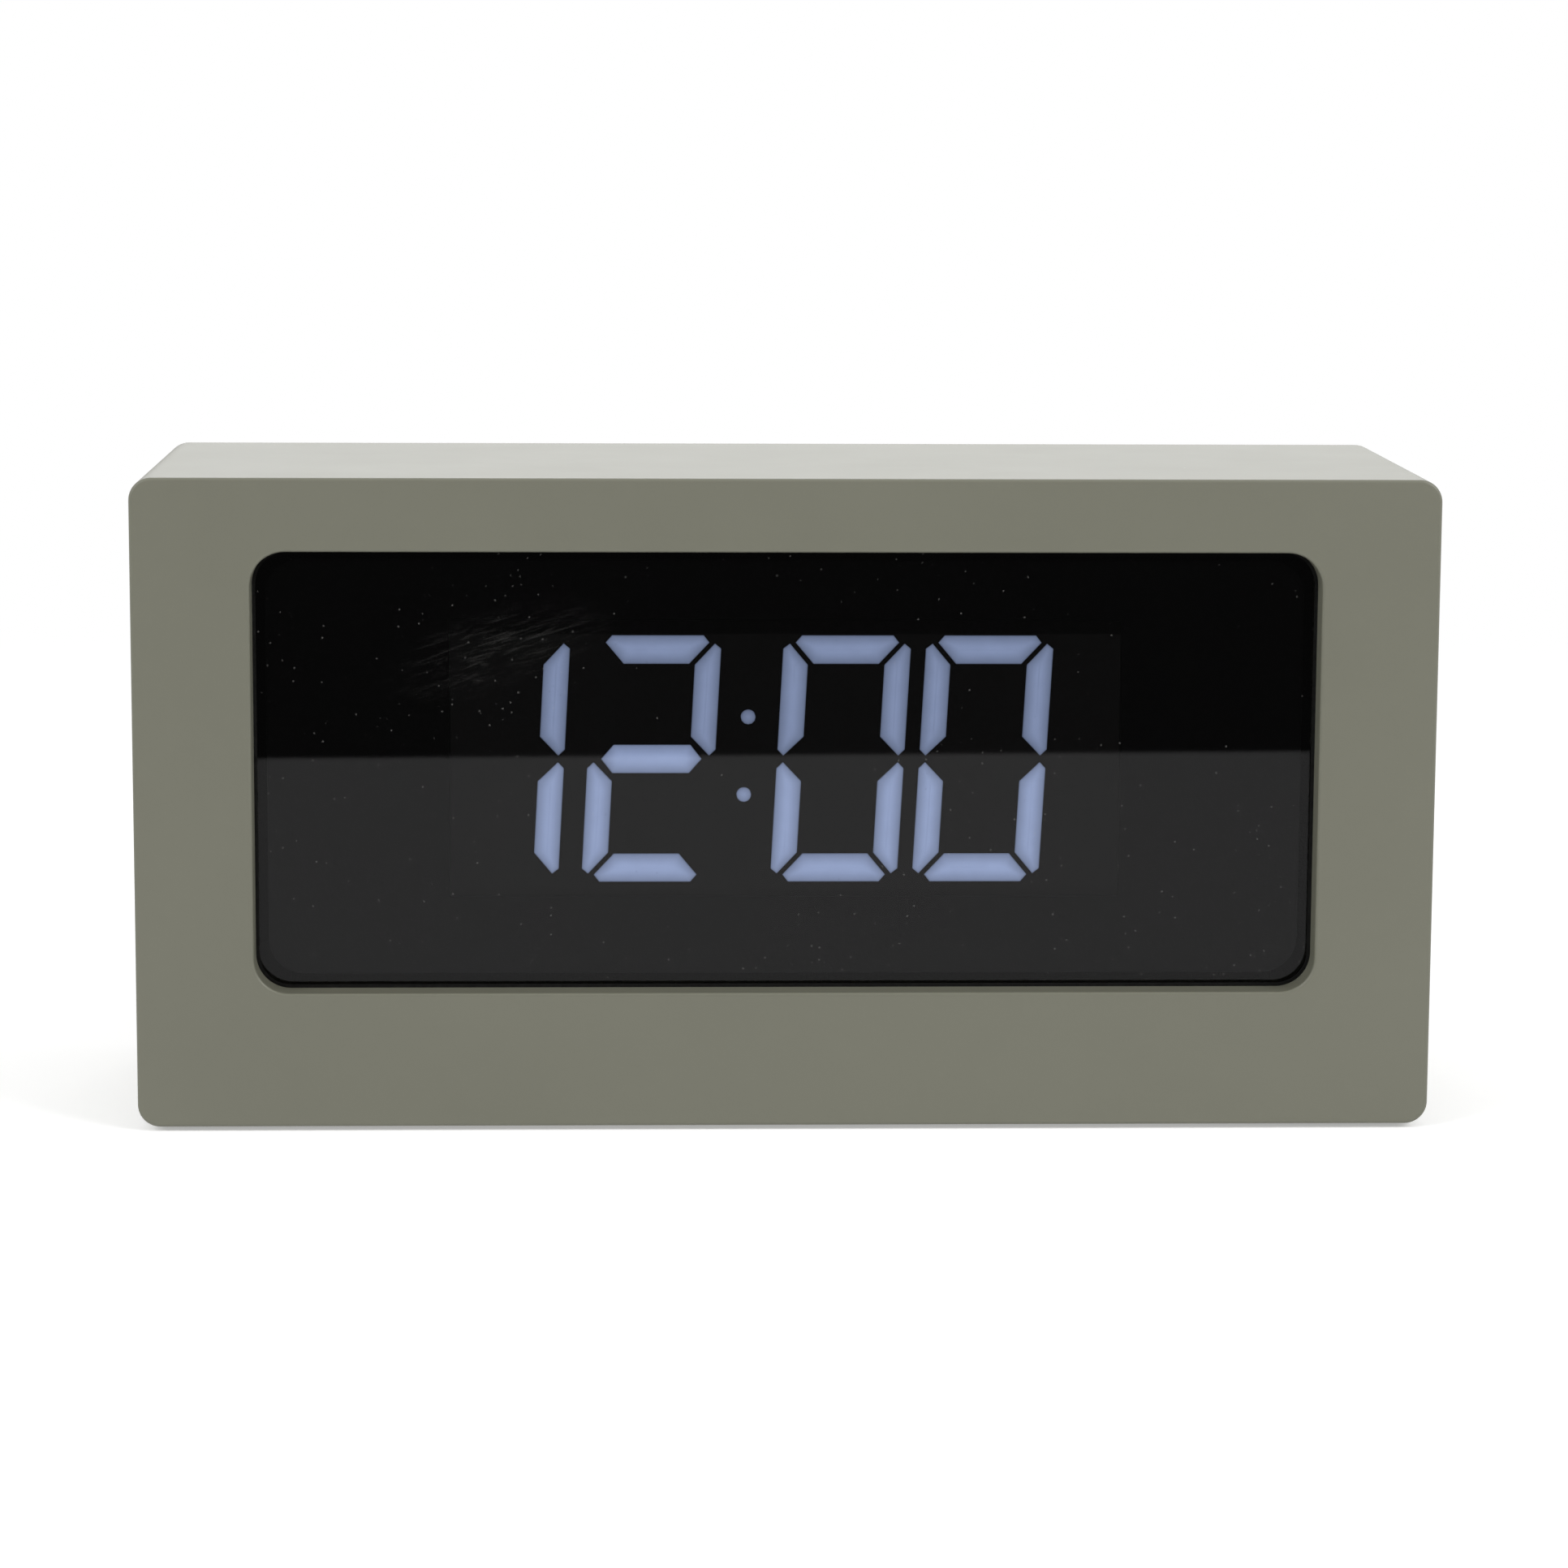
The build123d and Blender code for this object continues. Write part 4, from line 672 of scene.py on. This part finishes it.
# a copy of a CAD piece with its doubles merged, its flats made whole and its edges rounded by a bevel
def softened(node, width):
    source = nodes[node]
    shape = bmesh.new()
    shape.from_mesh(source.data)
    bmesh.ops.remove_doubles(shape, verts=shape.verts, dist=softening["weld"])
    bmesh.ops.dissolve_limit(shape, angle_limit=math.radians(softening["flatTurn"]), verts=shape.verts,
                             edges=shape.edges)
    mesh = bpy.data.meshes.new(node + "_soft")
    shape.to_mesh(mesh)
    shape.free()
    if "custom_normal" in mesh.attributes:
        mesh.attributes.remove(mesh.attributes["custom_normal"])
    mesh.shade_smooth()
    mesh.materials.clear()
    mesh.materials.append(source.data.materials[0])
    piece = placed(node + "_soft", mesh)
    bevel = piece.modifiers.new("softEdge", "BEVEL")
    bevel.width = width * mm
    bevel.segments = softening["segments"]
    bevel.limit_method = "ANGLE"
    bevel.angle_limit = math.radians(softening["edgeTurn"])
    bevel.harden_normals = True
    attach(piece, source["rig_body"])
    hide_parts(node)


for node, width in softEdges.items():
    softened(node, width)
print("clock: rear pieces softened")

# buttons
cap = {"flange": 4.6, "flangeFront": 51.0, "flangeBack": 52.0, "radius": 3.5, "back": 56.4, "edge": 0.4,
       "dish": 2.6, "dishDepth": 0.25, "chamfer": 0.1, "land": 0.12, "rimSteps": 7, "dishSteps": 9}


# a button's profile: flange, stem, rounded rim and a shallow dish that is a share of a parabola
def capProfile(c):
    turn = np.linspace(0, math.pi / 2, c["rimSteps"])
    rim = np.stack([c["radius"] - c["edge"] + c["edge"] * np.cos(turn),
                    c["back"] - c["edge"] + c["edge"] * np.sin(turn)], -1)
    reach = np.linspace(c["dish"], 0, c["dishSteps"])
    dish = np.stack([reach, c["back"] - c["dishDepth"] * (1 - (reach / c["dish"]) ** 2)], -1)
    narrow = c["flange"] - c["chamfer"]
    stem = [(0, c["flangeFront"]), (narrow, c["flangeFront"]), (c["flange"], c["flangeFront"] + c["chamfer"]),
            (c["flange"], c["flangeBack"] - c["chamfer"]), (narrow, c["flangeBack"]),
            (c["radius"], c["flangeBack"])]
    return np.concatenate([stem, rim, [(c["dish"] + c["land"], c["back"])], dish])


for name in ("set", "up", "down", "alarm"):
    low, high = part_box(name + "_button")
    place = ((low.x + high.x) / 2 / mm, frontY, (low.z + high.z) / 2 / mm)
    button = newPiece(name + "_cap", *turned(capProfile(cap), [place]), "button_plastic", name + "_button")
    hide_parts(name + "_button")
print("clock: buttons made")

# printed legends on the cover
legends = {"size": 2.3, "switchSize": 1.8, "ink": 0.04, "sink": 0.02, "above": 6.2, "aboveSwitch": 4.4,
           "arrow": (1.1, 0.95), "apart": 0.7, "travel": 4.0, "curveSteps": 5, "sharp": 30.0}


# a word as a thin closed plate about the origin: Blender's own letters, filled and as thick as the ink
def wordPlate(word, size, thick, steps):
    curve = bpy.data.curves.new(word, "FONT")
    curve.body = word
    curve.size = size * mm
    curve.align_x = "CENTER"
    curve.align_y = "CENTER"
    curve.extrude = thick * mm / 2
    curve.resolution_u = steps
    holder = placed(word, curve)
    bpy.context.view_layer.update()
    mesh = bpy.data.meshes.new_from_object(holder.evaluated_get(bpy.context.evaluated_depsgraph_get()))
    bpy.data.objects.remove(holder)
    points = np.empty(len(mesh.vertices) * 3)
    mesh.vertices.foreach_get("co", points)
    return points.reshape(-1, 3) / mm, [list(face.vertices) for face in mesh.polygons]


# a triangle that points up or down, as thick as the ink
def arrowPlate(direction, reach, thick):
    wide, tall = reach
    flat = np.array([(-wide, -tall * direction), (wide, -tall * direction), (0, tall * direction)])[::direction]
    points = np.concatenate([np.insert(flat, 2, side * thick / 2, axis=1) for side in (-1, 1)])
    return points, [(2, 1, 0), (3, 4, 5)] + [(i, (i + 1) % 3, (i + 1) % 3 + 3, i + 3) for i in range(3)]


# the plates turned to face the back, each over its control, joined into one piece
def printLegends(g):
    def middle(node):
        low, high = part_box(node)
        return (low.x + high.x) / 2 / mm, (low.z + high.z) / 2 / mm

    plates = [("set_button", wordPlate("SET", g["size"], g["ink"], g["curveSteps"]), 0, g["above"]),
              ("up_button", arrowPlate(1, g["arrow"], g["ink"]), 0, g["above"]),
              ("down_button", arrowPlate(-1, g["arrow"], g["ink"]), 0, g["above"]),
              ("alarm_button", wordPlate("ALARM", g["size"], g["ink"], g["curveSteps"]), 0, g["above"]),
              ("slide_switch_knob", wordPlate("OFF", g["switchSize"], g["ink"], g["curveSteps"]),
               -g["apart"], g["aboveSwitch"]),
              ("slide_switch_knob", wordPlate("ON", g["switchSize"], g["ink"], g["curveSteps"]),
               g["travel"] + g["apart"], g["aboveSwitch"])]
    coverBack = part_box("rear_cover")[1].y / mm
    points, faces = [], []
    for node, (flat, plateFaces), aside, above in plates:
        x, z = middle(node)
        first = sum(len(block) for block in points)
        points.append(np.stack([x + aside - flat[:, 0], coverBack + flat[:, 2] + g["ink"] / 2 - g["sink"],
                                z + above + flat[:, 1]], -1))
        faces += [[i + first for i in face] for face in plateFaces]
    newPiece("printed_legends", np.concatenate(points), faces, "cover_plastic", sharp=g["sharp"],
             material="legend_ink")


printLegends(legends)
print("clock: legends printed")

# floor, lights and camera, in metres
white = (1, 1, 1, 1)
stand = {"floor": 3.0, "near": 0.16, "far": 0.55, "paint": 0.86, "lift": 0.34, "room": 0.50,
         "cardY": -0.3547, "cardWidth": 1.6, "cardHeight": 0.6, "cardTurn": 2.62, "cardFoot": 0.0003,
         "cardFade": 0.0012, "cardShade": 0.087}


# one flat face that belongs to the stage
def flatPiece(name, corners, material):
    mesh = bpy.data.meshes.new(name)
    mesh.from_pydata(corners, [], [(0, 1, 2, 3)])
    mesh.materials.append(material)
    piece = placed(name, mesh)
    return piece


# white floor: plain diffuse near the clock, where it keeps the shadow, and even white further off
# and in reflections
def floorMaterial(s):
    material, tree, output = emptyMaterial("pale_floor")
    paint = nodeIn(tree, "ShaderNodeBsdfDiffuse", Color=(s["paint"], s["paint"], s["paint"], 1))
    lift = nodeIn(tree, "ShaderNodeEmission", Strength=s["lift"])
    lifted = nodeIn(tree, "ShaderNodeAddShader")
    bright = nodeIn(tree, "ShaderNodeEmission", Strength=1.0)
    path = nodeIn(tree, "ShaderNodeLightPath")
    place = nodeIn(tree, "ShaderNodeTexCoord").outputs["Object"]
    reach = nodeIn(tree, "ShaderNodeVectorMath", operation="LENGTH")
    fade = nodeIn(tree, "ShaderNodeMapRange", interpolation_type="SMOOTHSTEP")
    setInputs(fade, {"From Min": s["near"], "From Max": s["far"]})
    seen = nodeIn(tree, "ShaderNodeMath", operation="MULTIPLY")
    mirrored = nodeIn(tree, "ShaderNodeMath", operation="MAXIMUM")
    either = nodeIn(tree, "ShaderNodeMath", operation="MAXIMUM")
    cameraOnly = nodeIn(tree, "ShaderNodeMixShader")
    mixed = nodeIn(tree, "ShaderNodeMixShader")
    links = tree.links
    links.new(place, reach.inputs[0])
    links.new(reach.outputs["Value"], fade.inputs["Value"])
    links.new(fade.outputs["Result"], seen.inputs[0])
    links.new(path.outputs["Is Camera Ray"], seen.inputs[1])
    links.new(path.outputs["Is Glossy Ray"], mirrored.inputs[0])
    links.new(path.outputs["Is Transmission Ray"], mirrored.inputs[1])
    links.new(seen.outputs["Value"], either.inputs[0])
    links.new(mirrored.outputs["Value"], either.inputs[1])
    links.new(paint.outputs["BSDF"], lifted.inputs[0])
    links.new(lift.outputs["Emission"], lifted.inputs[1])
    links.new(path.outputs["Is Camera Ray"], cameraOnly.inputs["Fac"])
    links.new(paint.outputs["BSDF"], cameraOnly.inputs[1])
    links.new(lifted.outputs["Shader"], cameraOnly.inputs[2])
    links.new(either.outputs["Value"], mixed.inputs["Fac"])
    links.new(cameraOnly.outputs["Shader"], mixed.inputs[1])
    links.new(bright.outputs["Emission"], mixed.inputs[2])
    links.new(mixed.outputs["Shader"], output.inputs["Surface"])
    return material


r = stand["floor"]
flatPiece("floor", [(-r, -r, 0), (r, -r, 0), (r, r, 0), (-r, r, 0)], floorMaterial(stand))

# a dark card stands in front, seen only in the lens, whose upper half mirrors it
cardMaterial, cardTree, cardOutput = emptyMaterial("dark_card")
cardShade = nodeIn(cardTree, "ShaderNodeEmission", Color=white)
cardPlace = nodeIn(cardTree, "ShaderNodeSeparateXYZ")
cardFoot = nodeIn(cardTree, "ShaderNodeMapRange", interpolation_type="SMOOTHSTEP")
cardTop = stand["cardFoot"] + stand["cardFade"]
setInputs(cardFoot, dict(zip(rangeSockets, (stand["cardFoot"], cardTop, 1.0, stand["cardShade"]))))
cardTree.links.new(nodeIn(cardTree, "ShaderNodeTexCoord").outputs["Object"], cardPlace.inputs["Vector"])
cardTree.links.new(cardPlace.outputs["Z"], cardFoot.inputs["Value"])
cardTree.links.new(cardFoot.outputs["Result"], cardShade.inputs["Strength"])
cardTree.links.new(cardShade.outputs["Emission"], cardOutput.inputs["Surface"])
half = stand["cardWidth"] / 2
turn = math.tan(math.radians(stand["cardTurn"]))
cardEdges = [(-half, stand["cardY"] + half * turn), (half, stand["cardY"] - half * turn)]
card = flatPiece("dark_card", [(*cardEdges[0], stand["cardFoot"]), (*cardEdges[1], stand["cardFoot"]),
                               (*cardEdges[1], stand["cardHeight"]), (*cardEdges[0], stand["cardHeight"])],
                 cardMaterial)
card.visible_camera = False
card.visible_diffuse = False
card.visible_shadow = False

lampAim = (0, 0, 0.05)
lamps = {
    "rightBox": {"place": (1.15, -0.80, 1.00), "size": (0.8, 0.8), "power": 13.4},
    "leftBox": {"place": (-1.15, -0.80, 1.00), "size": (0.8, 0.8), "power": 11.3},
    "backBox": {"place": (0.06, 1.50, 0.90), "size": (1.2, 1.0), "power": 6.6},
}
for name, lamp in lamps.items():
    light = bpy.data.lights.new(name, "AREA")
    light.shape = "RECTANGLE"
    light.size, light.size_y = lamp["size"]
    light.energy = lamp["power"]
    holder = placed(name, light)
    holder.location = lamp["place"]
    aim = Vector(lampAim) - Vector(lamp["place"])
    holder.rotation_euler = aim.to_track_quat("-Z", "Y").to_euler()
    holder.visible_camera = False

# the room: white where it is seen, mirrored or looked through, softer as a light
room = bpy.data.worlds.new("studio")
bpy.context.scene.world = room
room.use_nodes = True
tree = room.node_tree
tree.nodes.clear()
path = tree.nodes.new("ShaderNodeLightPath")
seen = nodeIn(tree, "ShaderNodeBackground", Strength=1.0, Color=white)
soft = nodeIn(tree, "ShaderNodeBackground", Strength=stand["room"], Color=white)
anySeen = nodeIn(tree, "ShaderNodeMath", operation="ADD")
allSeen = nodeIn(tree, "ShaderNodeMath", operation="ADD", use_clamp=True)
mixed = nodeIn(tree, "ShaderNodeMixShader")
output = nodeIn(tree, "ShaderNodeOutputWorld")
tree.links.new(path.outputs["Is Camera Ray"], anySeen.inputs[0])
tree.links.new(path.outputs["Is Glossy Ray"], anySeen.inputs[1])
tree.links.new(anySeen.outputs["Value"], allSeen.inputs[0])
tree.links.new(path.outputs["Is Transmission Ray"], allSeen.inputs[1])
tree.links.new(allSeen.outputs["Value"], mixed.inputs["Fac"])
tree.links.new(soft.outputs["Background"], mixed.inputs[1])
tree.links.new(seen.outputs["Background"], mixed.inputs[2])
tree.links.new(mixed.outputs["Shader"], output.inputs["Surface"])

view = {"place": (-22.6, -648.1, 142.0), "pan": 2.05, "tilt": 8.74, "roll": 0.288, "lens": 109.2,
        "sensor": 36.0, "clip": (0.01, 20.0)}


# camera axes from its pan towards +X, its tilt down and its roll about the line of sight
def cameraAxes(v):
    pan, tilt, roll = (math.radians(v[key]) for key in ("pan", "tilt", "roll"))
    ahead = np.array([math.sin(pan) * math.cos(tilt), math.cos(pan) * math.cos(tilt), -math.sin(tilt)])
    right = np.array([math.cos(pan), -math.sin(pan), 0.0])
    up = np.cross(right, ahead)
    across = right * math.cos(roll) + up * math.sin(roll)
    upwards = up * math.cos(roll) - right * math.sin(roll)
    return np.stack([across, upwards, -ahead], 1)


lens = bpy.data.cameras.new("camera")
lens.sensor_width = view["sensor"]
lens.lens = view["lens"]
lens.clip_start, lens.clip_end = view["clip"]
camera = placed("camera", lens)
axes = Matrix(cameraAxes(view).tolist()).to_4x4()
camera.matrix_world = Matrix.Translation(Vector(view["place"]) * mm) @ axes
bpy.context.scene.camera = camera
bpy.context.scene.view_settings.view_transform = "Standard"
print("clock: lights and camera set")
